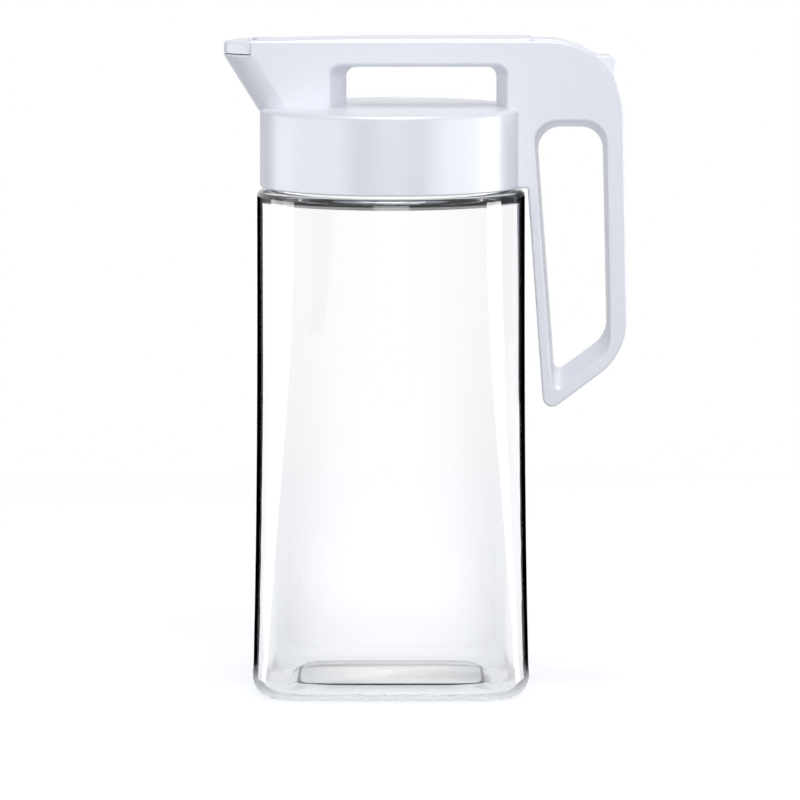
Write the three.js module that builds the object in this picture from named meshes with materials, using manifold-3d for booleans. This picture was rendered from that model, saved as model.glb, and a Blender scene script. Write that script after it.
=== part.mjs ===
// Fridge pitcher: a clear screw-neck jug under a white lid with a spout, a bridge, a loop handle and a
// see-saw pouring lever. Millimetres, +Z up, spout towards -X, handle towards +X. Every size is measured
// from the jug's own axis, and the last step moves the whole pitcher so that its box is centred.

import * as THREE from 'three';
import { mergeVertices } from 'three/addons/utils/BufferGeometryUtils.js';
import Module from 'manifold-3d';

const wasm = await Module();
wasm.setup();

// Shared
const ROUND_SIDES = 64;
const ARC_STEPS = 5;
const SEAT_GAP = 0.3;
const RUNNING_GAP = 0.4;
const WELD = 1e-4;
const PAST = 1;

// Jug
const SHOULDER_Z = 214.5;
const SHOULDER_RADIUS = 2.6;
const SHOULDER_STEP = 1.2;
const JUG_TAPER = 1.8;
const JUG_WALL = 2.4;
const JUG_FLOOR = 3.2;
const FOOT_RADIUS = 8.5;
const FOOT_SQUARENESS = 7;
const SQUARING_POWER = 2.5;
const CORNER_CROWDING = 0.5;
const FOOT_RING = 7.5;
const PUSH_UP_RISE = 3.6;
const PUSH_UP_SLOPE = 6;
const WALL_RINGS = 6;

// Neck
const NECK_HEIGHT = 23.5;
const NECK_WALL = 2.4;
const NECK_EDGE = 0.7;
const THREAD_ROOM = 2.6;

// Lid
const LID_RADIUS = 56.2;
const LID_SKIRT = 34;
const LID_LIFT = 1.5;
const LID_WALL = 2.4;
const LID_RIM_RADIUS = 2;
const SKIRT_EDGE = 0.8;
const DECK = 2.6;

// Bridge
const BRIDGE_WIDTH = 28;
const BRIDGE_RISE = 28.5;
const BRIDGE_DEPTH = 11.5;
const BRIDGE_FLOOR = 3;
const BRIDGE_WALL = 2;
const EDGE_RADIUS = 2;

// Finger gap under the bridge, its ends measured in from the lid's edge
const FINGER_FRONT = 37.1;
const FINGER_BACK = 11.1;
const FINGER_FRONT_FLARE = 7.3;
const FINGER_BACK_FLARE = 4.7;
const FINGER_CORNER = 4;
const FINGER_FOOT = 1;

// Spout
const SPOUT_OVERHANG = 15.3;
const SPOUT_FOOT_OVERHANG = 0.6;
const SPOUT_WALL = 2.4;
const SPOUT_LIP_DROP = 5.5;
const MOUTH_LENGTH = 22;
const MOUTH_WALL = 3;
const MOUTH_SIDE = 4;
const MOUTH_CORNER = 2.5;

// Loop handle
const HANDLE_SPAN = 42.4;
const HANDLE_LEAN = 2.7;
const HANDLE_BACK_RADIUS = 33;
const HANDLE_HEEL_DROP = 133.3;
const HANDLE_HEEL_RADIUS = 20;
const HANDLE_TIP_DROP = 160;
const HANDLE_TIP_RADIUS = 4;
const LEG_STAND_OFF = 2.4;
const LEG_LEAN = 7;
const LEG_ROOT_RADIUS = 2;
const LEG_THICK = 5.6;
const GRIP_THICK = 8.8;
const LOOP_TOP_DROP = 37.1;
const STRUT_THICK = 10.8;
const LOOP_SIDE_FLARE = 1.9;
const LOOP_TOP_FLARE = 3.1;
const LOOP_FOOT_FLARE = 5.5;
const LOOP_TOP_CORNER = 7.5;
const LOOP_HEEL_CORNER = 10;
const LOOP_TIP_CORNER = 2.5;

// Pouring lever
const LEVER_PRESS = THREE.MathUtils.degToRad(8);
const LEVER_PROUD = 1.5;
const LEVER_PLATE = 2.2;
const LEVER_RIB = 1.6;
const LEVER_RIB_DEPTH = 3.6;
const LEVER_EDGE = 0.9;
const LEVER_END_CORNER = 3;
const FLAP_LENGTH = 11.5;
const FLAP_SKIRT = 1.4;
const THUMB_WIDTH = 16;
const THUMB_SLOPE = THREE.MathUtils.degToRad(32);
const THUMB_TAB_LENGTH = 8.4;
const THUMB_TAB_DROP = 7.8;
const THUMB_TAB_DEPTH = 10.4;
const THUMB_TIP_RADIUS = 3.6;
const THUMB_BLEND = 6;
const THUMB_THICK = 9.5;
const THUMB_HEEL = 5;
const THUMB_CORNER = 1.3;
const THUMB_SLOT_ROOM = 6.5;
const SLOT_HEEL_DROP = 2.5;

// Places along the handle, back from its top corner
const LEVER_END = 37.6;
const PIN_X = 32.6;
const SPRING_X = 21.1;

// Lever pin and spring
const PIN_DROP = 5.5;
const PIN_RADIUS = 1.5;
const PIN_SEAT = 4;
const PIN_SIDES = 16;
const PIN_LUG = 4.2;
const SPRING_RADIUS = 3.2;
const SPRING_WIRE = 0.8;
const SPRING_TURNS = 6;
const SPRING_LENGTH = 16;
const SPRING_STEPS = 8;
const SPRING_SIDES = 5;

// Liner, its two rings and the flap seal
const GASKET_HEIGHT = 2.4;
const GASKET_LAP = 0.5;
const RING_ROUND = 0.5;
const LINER_PLATE = 2.4;
const LINER_RIM = 3;
const LINER_SEAL_HEIGHT = 1.8;
const LINER_SEAL_INSET = 0.2;
const PLUG_DEPTH = 5;
const PLUG_WALL = 2;
const PLUG_GAP = 0.6;
const SLOT_COUNT = 5;
const SLOT_WIDTH = 2.4;
const SLOT_PITCH = 4.4;
const SLOT_LENGTH = 14;
const SLOT_INSET = 2;
const SEAL_THICK = 2;
const SEAL_PLUG = 1;
const SEAL_PLUG_GAP = 1.1;

// Heights and places that follow from the sizes above
const skirtFoot = SHOULDER_Z + LID_LIFT;
const deckTop = skirtFoot + LID_SKIRT;
const deckUnder = deckTop - DECK;
const bridgeTop = deckTop + BRIDGE_RISE;
const bridgeUnder = bridgeTop - BRIDGE_DEPTH;
const bridgeHalf = BRIDGE_WIDTH / 2;
const channelFloor = bridgeUnder + BRIDGE_FLOOR;
const channelHalf = bridgeHalf - BRIDGE_WALL;
const lipZ = bridgeTop - SPOUT_LIP_DROP;
const leverTop = bridgeTop + LEVER_PROUD;
const leverHalf = channelHalf - RUNNING_GAP;
const thumbHalf = THUMB_WIDTH / 2;
const pinZ = bridgeTop - PIN_DROP;
const lidBore = LID_RADIUS - LID_WALL;
const neckRadius = lidBore - THREAD_ROOM;
const neckBore = neckRadius - NECK_WALL;
const neckTop = SHOULDER_Z + NECK_HEIGHT;
const shoulderHalf = LID_RADIUS + SHOULDER_STEP;
const footHalf = shoulderHalf + JUG_TAPER;
const gasketFoot = neckTop + SEAT_GAP;
const linerFoot = gasketFoot + GASKET_HEIGHT + SEAT_GAP;
const linerRadius = lidBore - RUNNING_GAP;
const linerSealTop = deckUnder - SEAT_GAP;
const linerTop = linerSealTop - LINER_SEAL_HEIGHT - SEAT_GAP;
const spoutReach = -(LID_RADIUS + SPOUT_OVERHANG);
const spoutFoot = -(LID_RADIUS + SPOUT_FOOT_OVERHANG);
const flapBack = spoutReach + FLAP_LENGTH;
const fingerFront = FINGER_FRONT - LID_RADIUS;
const fingerBack = LID_RADIUS - FINGER_BACK;
const handleTopX = LID_RADIUS + HANDLE_SPAN;
const leverEnd = handleTopX - LEVER_END;
const pinX = handleTopX - PIN_X;
const springX = handleTopX - SPRING_X;
const heel = [handleTopX + HANDLE_LEAN, bridgeTop - HANDLE_HEEL_DROP];
const legTop = [LID_RADIUS + LEG_STAND_OFF, skirtFoot];
const tip = [legTop[0] + LEG_LEAN, bridgeTop - HANDLE_TIP_DROP];

// Closed outline through corners [a, b, radius], each corner turned by an arc of its radius.
function rounded(corners) {
  const outline = [];
  corners.forEach(([a, b, radius], i) => {
    const corner = new THREE.Vector2(a, b);
    if (!radius) {
      outline.push(corner);
      return;
    }
    const back = new THREE.Vector2(...corners.at(i - 1)).sub(corner).normalize();
    const ahead = new THREE.Vector2(...corners[(i + 1) % corners.length]).sub(corner).normalize();
    const half = Math.acos(THREE.MathUtils.clamp(back.dot(ahead), -1, 1)) / 2;
    const centre = back.clone().add(ahead).setLength(radius / Math.sin(half)).add(corner);
    const start = back.multiplyScalar(radius / Math.tan(half)).add(corner).sub(centre).angle();
    const end = ahead.multiplyScalar(radius / Math.tan(half)).add(corner).sub(centre).angle();
    const sweep = Math.atan2(Math.sin(end - start), Math.cos(end - start));
    for (let step = 0; step <= ARC_STEPS; step += 1) {
      const angle = start + (sweep * step) / ARC_STEPS;
      outline.push(new THREE.Vector2(Math.cos(angle), Math.sin(angle)).multiplyScalar(radius).add(centre));
    }
  });
  return outline;
}

// Quarter turn of a profile, from one angle to another about a centre.
function arc(a, b, radius, from, to, steps = ARC_STEPS) {
  return Array.from({ length: steps + 1 }, (_, step) => {
    const angle = THREE.MathUtils.degToRad(from + ((to - from) * step) / steps);
    return new THREE.Vector2(a + radius * Math.cos(angle), b + radius * Math.sin(angle));
  });
}

// Solid for joining and cutting: shared corners welded, flat faces dropped, outside facing out.
function solid(geometry) {
  const bare = geometry.clone();
  bare.deleteAttribute('normal');
  bare.deleteAttribute('uv');
  const welded = mergeVertices(bare, WELD);
  const corner = (vertex) => new THREE.Vector3().fromBufferAttribute(welded.attributes.position, vertex);
  const faces = [];
  let volume = 0;
  for (let i = 0; i < welded.index.count; i += 3) {
    const [a, b, c] = [0, 1, 2].map((k) => welded.index.getX(i + k));
    if (a !== b && b !== c && c !== a) {
      faces.push([a, b, c]);
      volume += corner(a).dot(corner(b).cross(corner(c)));
    }
  }
  const outward = volume > 0 ? faces : faces.map(([a, b, c]) => [a, c, b]);
  return new wasm.Manifold(new wasm.Mesh({
    numProp: 3,
    vertProperties: new Float32Array(welded.attributes.position.array),
    triVerts: new Uint32Array(outward.flat()),
  }));
}

// Revolved solid about Z from a profile of (radius, height) points that starts and ends on the axis or
// closes on itself.
function revolved(profile, sides = ROUND_SIDES) {
  return new THREE.LatheGeometry(profile, sides).rotateX(Math.PI / 2);
}

// Geometry of an outline given a thickness, with the edges of both faces rounded.
function thickened(outline, low, high, edge) {
  return new THREE.ExtrudeGeometry(new THREE.Shape(outline), {
    depth: high - low - 2 * edge,
    bevelEnabled: edge > 0,
    bevelThickness: edge,
    bevelSize: edge,
    bevelOffset: -edge,
    bevelSegments: 3,
  }).translate(0, 0, low + edge);
}

// Slab of a plan outline between two heights, with its upper and lower edges rounded.
function slab(outline, low, high, edge = 0) {
  return solid(thickened(outline, low, high, edge));
}

// Plate of a side outline in X and Z, as wide as asked across Y, with its side edges rounded.
function plate(outline, width, edge = 0) {
  return solid(thickened(outline, -width / 2, width / 2, edge).rotateX(Math.PI / 2));
}

// Solid through anticlockwise sections of equal point count. place() puts an outline point at its station.
function loft(sections, place) {
  const count = sections[0].outline.length;
  const points = sections.flatMap(({ outline, at }) => outline.map((p) => place(p, at).toArray()));
  const index = [];
  for (let s = 0; s < sections.length - 1; s += 1) {
    for (let i = 0; i < count; i += 1) {
      const a = s * count + i;
      const b = s * count + ((i + 1) % count);
      index.push(a, b, b + count, a, b + count, a + count);
    }
  }
  const last = (sections.length - 1) * count;
  THREE.ShapeUtils.triangulateShape(sections[0].outline, []).forEach(([a, b, c]) => index.push(c, b, a));
  THREE.ShapeUtils.triangulateShape(sections.at(-1).outline, [])
    .forEach(([a, b, c]) => index.push(last + a, last + b, last + c));
  const geometry = new THREE.BufferGeometry();
  geometry.setAttribute('position', new THREE.Float32BufferAttribute(points.flat(), 3));
  geometry.setIndex(index);
  return solid(geometry);
}

const inPlan = (p, z) => new THREE.Vector3(p.x, p.y, z);
const inSide = (p, y) => new THREE.Vector3(p.x, y, p.y);

// Opening through the bridge and handle: narrowest in the middle plane, flared towards both faces.
function flaredOpening(middle, face) {
  const faceOutline = rounded(face);
  return loft([
    { outline: faceOutline, at: -bridgeHalf - PAST },
    { outline: faceOutline, at: -bridgeHalf },
    { outline: rounded(middle), at: 0 },
    { outline: faceOutline, at: bridgeHalf },
    { outline: faceOutline, at: bridgeHalf + PAST },
  ], inSide);
}

function block(low, high) {
  const size = new THREE.Vector3(...high).sub(new THREE.Vector3(...low));
  const middle = new THREE.Vector3(...low).addScaledVector(size, 0.5);
  return solid(new THREE.BoxGeometry(...size.toArray()).translate(...middle.toArray()));
}

// Round bar along Y, between two places on it.
function bar(radius, low, high) {
  return new THREE.CylinderGeometry(radius, radius, high - low, PIN_SIDES).translate(0, (low + high) / 2, 0);
}

// Plan outline with a full round nose at the front and square corners behind.
function nose(front, back, half) {
  const centre = front + half;
  const tipArc = arc(centre, 0, half, 90, 270, 4 * ARC_STEPS);
  return [...tipArc, new THREE.Vector2(back, -half), new THREE.Vector2(back, half)];
}

// How square the jug is at a height: 2 is a circle, and more is a rounder or squarer square.
function squareness(z) {
  const down = THREE.MathUtils.clamp(1 - z / SHOULDER_Z, 0, 1);
  return 2 + (FOOT_SQUARENESS - 2) * down ** SQUARING_POWER;
}

// Jug: one revolved wall whose rings are then swelled from circles to rounded squares.
function jugBody() {
  const footFlat = footHalf - FOOT_RADIUS;
  const pushUp = footFlat - FOOT_RING;
  const wallTop = SHOULDER_Z - SHOULDER_RADIUS;
  const innerTop = SHOULDER_Z - JUG_WALL;
  const innerFootRadius = FOOT_RADIUS - JUG_WALL;
  const panelTop = PUSH_UP_RISE + JUG_FLOOR;
  const side = (low, high, inset) => Array.from({ length: WALL_RINGS }, (_, ring) => {
    const share = (ring + 0.5) / WALL_RINGS;
    const z = low + (high - low) * share;
    return new THREE.Vector2(footHalf - JUG_TAPER * (z / SHOULDER_Z) - inset, z);
  });
  const profile = [
    new THREE.Vector2(0, PUSH_UP_RISE),
    new THREE.Vector2(pushUp - PUSH_UP_SLOPE, PUSH_UP_RISE),
    new THREE.Vector2(pushUp, 0),
    ...arc(footFlat, FOOT_RADIUS, FOOT_RADIUS, -90, 0),
    ...side(FOOT_RADIUS, wallTop, 0),
    ...arc(shoulderHalf - SHOULDER_RADIUS, wallTop, SHOULDER_RADIUS, 0, 90),
    new THREE.Vector2(neckRadius + NECK_EDGE, SHOULDER_Z),
    new THREE.Vector2(neckRadius, SHOULDER_Z + NECK_EDGE),
    ...arc(neckRadius - NECK_EDGE, neckTop - NECK_EDGE, NECK_EDGE, 0, 90, 2),
    ...arc(neckBore + NECK_EDGE, neckTop - NECK_EDGE, NECK_EDGE, 90, 180, 2),
    new THREE.Vector2(neckBore, innerTop),
    ...arc(shoulderHalf - SHOULDER_RADIUS - JUG_WALL, wallTop - JUG_WALL, SHOULDER_RADIUS, 90, 0, 3),
    ...side(panelTop + innerFootRadius, wallTop - JUG_WALL, JUG_WALL).reverse(),
    ...arc(footFlat, JUG_FLOOR + innerFootRadius, innerFootRadius, 0, -90),
    new THREE.Vector2(pushUp, JUG_FLOOR),
    new THREE.Vector2(pushUp - PUSH_UP_SLOPE, panelTop),
    new THREE.Vector2(0, panelTop),
  ];
  const geometry = revolved(profile);
  const points = geometry.attributes.position;
  for (let i = 0; i < points.count; i += 1) {
    const n = squareness(points.getZ(i));
    const crowding = CORNER_CROWDING * ((n - 2) / (FOOT_SQUARENESS - 2));
    const radius = Math.hypot(points.getX(i), points.getY(i));
    const turn = Math.atan2(points.getY(i), points.getX(i));
    const angle = turn + (crowding * Math.sin(4 * turn)) / 4;
    const cos = Math.cos(angle);
    const sin = Math.sin(angle);
    const swell = radius * (Math.abs(cos) ** n + Math.abs(sin) ** n) ** (-1 / n);
    points.setXY(i, swell * cos, swell * sin);
  }
  return solid(geometry);
}

// Cup of the lid: skirt, rounded rim and flat deck.
function lidCup() {
  return solid(revolved([
    new THREE.Vector2(0, deckTop),
    ...arc(LID_RADIUS - LID_RIM_RADIUS, deckTop - LID_RIM_RADIUS, LID_RIM_RADIUS, 90, 0, 4),
    ...arc(LID_RADIUS - SKIRT_EDGE, skirtFoot + SKIRT_EDGE, SKIRT_EDGE, 0, -90, 2),
    new THREE.Vector2(lidBore, skirtFoot),
    new THREE.Vector2(lidBore, deckUnder),
    new THREE.Vector2(0, deckUnder),
  ]));
}

// Bridge and loop handle as one side outline, still without its openings.
function bridgeAndHandle() {
  const skirtMiddle = LID_RADIUS - LID_WALL / 2;
  const inDeck = deckTop - DECK / 2;
  const frontFoot = spoutFoot + bridgeHalf;
  const outline = rounded([
    [flapBack - PAST, bridgeTop, 0],
    [handleTopX, bridgeTop, HANDLE_BACK_RADIUS],
    [...heel, HANDLE_HEEL_RADIUS],
    [...tip, HANDLE_TIP_RADIUS],
    [...legTop, LEG_ROOT_RADIUS],
    [skirtMiddle, skirtFoot, 0],
    [skirtMiddle, inDeck, 0],
    [frontFoot, inDeck, 0],
    [flapBack - PAST, lipZ - EDGE_RADIUS, 0],
  ]);
  return plate(outline, BRIDGE_WIDTH, EDGE_RADIUS);
}

// Spout's outside: a round nose that leans out from the rim of the lid up to the lip.
function spoutBlock() {
  const back = fingerFront - FINGER_FRONT_FLARE - FINGER_CORNER;
  return loft([
    { outline: nose(spoutFoot, back, bridgeHalf), at: deckTop - DECK / 2 },
    { outline: nose(spoutReach, back, bridgeHalf), at: lipZ },
  ], inPlan);
}

// Mouth of the spout in plan: round towards the lip, square behind, drawn in all round by an inset.
function mouth(front, inset) {
  const half = bridgeHalf - MOUTH_SIDE - inset;
  return rounded([
    [front + inset, half, half - WELD],
    [front + inset, -half, half - WELD],
    [front + MOUTH_LENGTH - inset, -half, MOUTH_CORNER],
    [front + MOUTH_LENGTH - inset, half, MOUTH_CORNER],
  ]);
}

const mouthFront = spoutReach + SPOUT_WALL;
const mouthBack = mouthFront + MOUTH_LENGTH;
const ductFront = spoutFoot + 2 * SPOUT_WALL;

// Slanted duct from the space under the deck to the mouth.
function spoutDuct() {
  const lean = (ductFront - mouthFront) / (lipZ - deckUnder);
  return loft([
    { outline: mouth(ductFront + lean * PAST, 0), at: deckUnder - PAST },
    { outline: mouth(mouthFront, 0), at: lipZ },
    { outline: mouth(mouthFront, 0), at: bridgeTop + PAST },
  ], inPlan);
}

// Finger gap under the bridge, down to the deck.
function fingerGap() {
  const corners = (front, back, grow) => [
    [front, deckTop, FINGER_FOOT],
    [back, deckTop, FINGER_FOOT],
    [back, bridgeUnder, FINGER_CORNER + grow],
    [front, bridgeUnder, FINGER_CORNER + grow],
  ];
  return flaredOpening(
    corners(fingerFront, fingerBack, 0),
    corners(fingerFront - FINGER_FRONT_FLARE, fingerBack + FINGER_BACK_FLARE, 1),
  );
}

// Point where the line through two points has the given height.
function atHeight([x0, z0], [x1, z1], z) {
  return x0 + ((x1 - x0) * (z - z0)) / (z1 - z0);
}

// Handle loop: the handle's outline drawn in by the leg, the grip and the strut, less the flare.
function handleLoop() {
  const strut = new THREE.Vector2(heel[0] - tip[0], heel[1] - tip[1]);
  const rise = strut.y / strut.x;
  const corners = (side, top, foot) => {
    const topZ = bridgeTop - LOOP_TOP_DROP + top;
    const lift = ((STRUT_THICK - foot) * strut.length()) / strut.x;
    const grip = (z) => atHeight([handleTopX, bridgeTop], heel, z) - GRIP_THICK + side;
    const leg = (z) => atHeight(legTop, tip, z) + LEG_THICK - side;
    const heelX = grip(heel[1]);
    const heelZ = heel[1] + lift + (heelX - heel[0]) * rise;
    const tipX = leg(tip[1] + lift);
    const tipZ = tip[1] + lift + (tipX - tip[0]) * rise;
    return [
      [tipX, tipZ, LOOP_TIP_CORNER],
      [heelX, heelZ, LOOP_HEEL_CORNER],
      [grip(topZ), topZ, LOOP_TOP_CORNER],
      [leg(topZ), topZ, LOOP_TOP_CORNER],
    ];
  };
  return flaredOpening(corners(0, 0, 0), corners(LOOP_SIDE_FLARE, LOOP_TOP_FLARE, LOOP_FOOT_FLARE));
}

// Side outline of the lever's thumb end: it follows the handle's back, then flattens into a tab.
const thumbRadius = HANDLE_BACK_RADIUS + LEVER_PROUD;
const thumbBreak = handleTopX - HANDLE_BACK_RADIUS + thumbRadius * Math.tan(THUMB_SLOPE / 2);
const tabZ = leverTop - THUMB_TAB_DROP;
const tabStart = thumbBreak + THUMB_TAB_DROP / Math.tan(THUMB_SLOPE);
const tabEnd = tabStart + THUMB_TAB_LENGTH;
const tabFoot = tabZ - THUMB_TAB_DEPTH;
const thumbUnder = leverTop - THUMB_THICK;
const lugFoot = pinZ - PIN_LUG;

function thumbOutline() {
  return rounded([
    [leverEnd - LEVER_END_CORNER, leverTop, 0],
    [thumbBreak, leverTop, thumbRadius],
    [tabStart, tabZ, THUMB_BLEND],
    [tabEnd, tabZ, THUMB_TIP_RADIUS],
    [tabEnd - PAST, tabFoot, THUMB_CORNER],
    [tabEnd - THUMB_HEEL, tabFoot, THUMB_CORNER],
    [springX + THUMB_HEEL, thumbUnder, THUMB_CORNER],
    [pinX + PIN_LUG, thumbUnder, 0],
    [pinX + PIN_LUG, lugFoot, THUMB_CORNER],
    [leverEnd - LEVER_END_CORNER, lugFoot, 0],
  ]);
}

// Slot in the handle's back that the thumb end sinks into.
function thumbSlot() {
  const front = leverEnd - LEVER_END_CORNER - PAST;
  const outside = handleTopX + HANDLE_LEAN + PAST;
  const outline = rounded([
    [front, leverTop + PAST, 0],
    [front, lugFoot - PAST, 0],
    [springX + THUMB_HEEL, tabFoot - PAST, 0],
    [tabEnd - THUMB_HEEL / 2, tabFoot - THUMB_SLOT_ROOM, 0],
    [outside, tabFoot - THUMB_SLOT_ROOM - SLOT_HEEL_DROP, 0],
    [outside, leverTop + PAST, 0],
  ]);
  return plate(outline, THUMB_WIDTH + 2 * RUNNING_GAP);
}

const springTop = thumbUnder - SEAT_GAP;
const springFoot = springTop - SPRING_LENGTH;

function springPocket() {
  const radius = SPRING_RADIUS + SPRING_WIRE / 2 + RUNNING_GAP;
  const bore = bar(radius, springFoot - SEAT_GAP, thumbUnder).rotateX(Math.PI / 2);
  return solid(bore.translate(springX, 0, 0));
}

// Channel along the bridge that the lever lies in, with the flap's seat at the front. Its end leaves room
// for the lever's end, which swings back as it is pressed.
function leverChannel() {
  const end = leverEnd + RUNNING_GAP + (leverTop - pinZ) * Math.sin(LEVER_PRESS);
  const outline = rounded([
    [mouthBack + MOUTH_WALL, -channelHalf, 0],
    [end, -channelHalf, LEVER_END_CORNER + RUNNING_GAP],
    [end, channelHalf, LEVER_END_CORNER + RUNNING_GAP],
    [mouthBack + MOUTH_WALL, channelHalf, 0],
  ]);
  const wide = bridgeHalf + PAST;
  const flapSeat = block([spoutReach - PAST, -wide, lipZ], [flapBack + RUNNING_GAP, wide, leverTop + PAST]);
  const overMouth = block(
    [flapBack, -channelHalf, lipZ],
    [mouthBack + MOUTH_WALL + PAST, channelHalf, leverTop + PAST],
  );
  return slab(outline, channelFloor, leverTop + PAST).add(flapSeat).add(overMouth);
}

// Hole for the lever's pin: blind at the near wall, open at the far one so that the pin can go in.
function pinHole(nearEnd, farEnd) {
  return solid(bar(PIN_RADIUS + SEAT_GAP, nearEnd, farEnd).translate(pinX, 0, pinZ));
}

const pinNear = -(thumbHalf + PIN_SEAT);
const pinFar = bridgeHalf - SEAT_GAP;

function lidShell() {
  const inside = solid(revolved([
    new THREE.Vector2(0, skirtFoot - PAST),
    new THREE.Vector2(lidBore, skirtFoot - PAST),
    new THREE.Vector2(lidBore, deckUnder),
    new THREE.Vector2(0, deckUnder),
  ]));
  return lidCup()
    .add(bridgeAndHandle())
    .add(spoutBlock())
    .subtract(inside)
    .subtract(fingerGap())
    .subtract(handleLoop())
    .subtract(leverChannel())
    .subtract(thumbSlot())
    .subtract(springPocket())
    .subtract(spoutDuct())
    .subtract(pinHole(pinNear - SEAT_GAP, bridgeHalf + PAST));
}

// Lever: ribbed arm, hollow flap with its skirt round the spout's nose, and the thumb tab.
function pourLever() {
  const plateFoot = leverTop - LEVER_PLATE;
  const ribFoot = leverTop - LEVER_PLATE - LEVER_RIB_DEPTH;
  const ribFront = mouthBack + MOUTH_WALL + RUNNING_GAP;
  const armOutline = rounded([
    [flapBack - FLAP_LENGTH / 2, -leverHalf, 0],
    [leverEnd, -leverHalf, LEVER_END_CORNER],
    [leverEnd, leverHalf, LEVER_END_CORNER],
    [flapBack - FLAP_LENGTH / 2, leverHalf, 0],
  ]);
  const arm = slab(armOutline, ribFoot, leverTop, LEVER_EDGE)
    .subtract(block(
      [ribFront, LEVER_RIB - leverHalf, ribFoot - PAST],
      [leverEnd - LEVER_END_CORNER - LEVER_RIB, leverHalf - LEVER_RIB, plateFoot],
    ))
    .subtract(block([spoutReach, -bridgeHalf, ribFoot - PAST], [ribFront + WELD, bridgeHalf, plateFoot]));
  const flapFoot = lipZ + SEAT_GAP;
  const noseBack = spoutReach + BRIDGE_WIDTH;
  const flapHollow = nose(spoutReach + FLAP_SKIRT, noseBack + PAST, bridgeHalf - FLAP_SKIRT);
  const flap = slab(nose(spoutReach, noseBack, bridgeHalf), flapFoot, leverTop, LEVER_EDGE)
    .subtract(slab(flapHollow, flapFoot - PAST, plateFoot))
    .subtract(block(
      [flapBack, -BRIDGE_WIDTH, lipZ - PAST],
      [noseBack + PAST, BRIDGE_WIDTH, leverTop + PAST],
    ));
  const sealTop = flapFoot + SEAL_THICK + SEAT_GAP;
  const sealBoss = slab(mouth(mouthFront, SPOUT_WALL), sealTop, leverTop - LEVER_PLATE / 2);
  const thumb = plate(thumbOutline(), THUMB_WIDTH, LEVER_EDGE);
  return arm.add(flap).add(sealBoss).add(thumb).subtract(pinHole(-bridgeHalf, bridgeHalf));
}

// Pad that closes the mouth, with a plug that enters it.
function flapSeal() {
  const padFoot = lipZ + SEAT_GAP;
  const padInset = -(SPOUT_WALL - FLAP_SKIRT - RUNNING_GAP);
  const pad = slab(mouth(mouthFront, padInset), padFoot, padFoot + SEAL_THICK);
  return pad.add(slab(mouth(mouthFront, SEAL_PLUG_GAP), lipZ - SEAL_PLUG, padFoot + SEAL_THICK / 2));
}

function leverPin() {
  return solid(bar(PIN_RADIUS, pinNear, pinFar).translate(pinX, 0, pinZ));
}

// Helix of the spring's wire, from its foot to its top.
class SpringCurve extends THREE.Curve {
  getPoint(t, target = new THREE.Vector3()) {
    const angle = 2 * Math.PI * SPRING_TURNS * t;
    const climb = SPRING_LENGTH - SPRING_WIRE;
    return target.set(
      springX + SPRING_RADIUS * Math.cos(angle),
      SPRING_RADIUS * Math.sin(angle),
      springFoot + SPRING_WIRE / 2 + climb * t,
    );
  }
}

// Least gap of the wire to itself, measured on points of its middle line at least half a turn apart.
function leastGap(curve) {
  const perTurn = 4 * SPRING_STEPS;
  const points = curve.getPoints(SPRING_TURNS * perTurn);
  let least = Infinity;
  for (let i = 0; i < points.length; i += 1) {
    for (let j = i + perTurn / 2; j < points.length; j += 1) {
      least = Math.min(least, points[i].distanceTo(points[j]));
    }
  }
  return least - SPRING_WIRE;
}

function leverSpring() {
  const curve = new SpringCurve();
  const section = new THREE.Shape(
    Array.from({ length: SPRING_SIDES }, (_, side) => {
      const angle = (2 * Math.PI * side) / SPRING_SIDES;
      return new THREE.Vector2(Math.cos(angle), Math.sin(angle)).multiplyScalar(SPRING_WIRE / 2);
    }),
  );
  const wire = new THREE.ExtrudeGeometry(section, {
    steps: SPRING_TURNS * SPRING_STEPS,
    extrudePath: curve,
    bevelEnabled: false,
  });
  console.log(`lever_spring: least gap between turns ${leastGap(curve).toFixed(2)} mm`);
  return solid(wire);
}

// Liner: plate under the deck with a rim round it, a plug inside the neck, and the pour slots.
function lidLiner() {
  const plateTop = linerFoot + LINER_PLATE;
  const plugRadius = neckBore - PLUG_GAP;
  let liner = solid(revolved([
    new THREE.Vector2(0, plateTop),
    new THREE.Vector2(linerRadius - LINER_RIM, plateTop),
    new THREE.Vector2(linerRadius - LINER_RIM, linerTop),
    new THREE.Vector2(linerRadius, linerTop),
    new THREE.Vector2(linerRadius, linerFoot),
    new THREE.Vector2(plugRadius, linerFoot),
    new THREE.Vector2(plugRadius, linerFoot - PLUG_DEPTH),
    new THREE.Vector2(plugRadius - PLUG_WALL, linerFoot - PLUG_DEPTH),
    new THREE.Vector2(plugRadius - PLUG_WALL, linerFoot),
    new THREE.Vector2(0, linerFoot),
  ]));
  const slotFront = -(plugRadius - PLUG_WALL) + SLOT_INSET;
  for (let slot = 0; slot < SLOT_COUNT; slot += 1) {
    const y = (slot - (SLOT_COUNT - 1) / 2) * SLOT_PITCH;
    liner = liner.subtract(block(
      [slotFront, y - SLOT_WIDTH / 2, linerFoot - PAST],
      [slotFront + SLOT_LENGTH, y + SLOT_WIDTH / 2, plateTop + PAST],
    ));
  }
  return liner;
}

// Silicone ring with its four edges taken off.
function softRing(inner, outer, foot, top) {
  const section = [
    ...arc(inner + RING_ROUND, foot + RING_ROUND, RING_ROUND, 180, 270, 1),
    ...arc(outer - RING_ROUND, foot + RING_ROUND, RING_ROUND, -90, 0, 1),
    ...arc(outer - RING_ROUND, top - RING_ROUND, RING_ROUND, 0, 90, 1),
    ...arc(inner + RING_ROUND, top - RING_ROUND, RING_ROUND, 90, 180, 1),
  ];
  return solid(revolved([...section, section[0]]));
}

// Ring on the rim of the neck, under the liner.
function lidGasket() {
  return softRing(neckBore - GASKET_LAP, neckRadius + GASKET_LAP, gasketFoot, gasketFoot + GASKET_HEIGHT);
}

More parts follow.
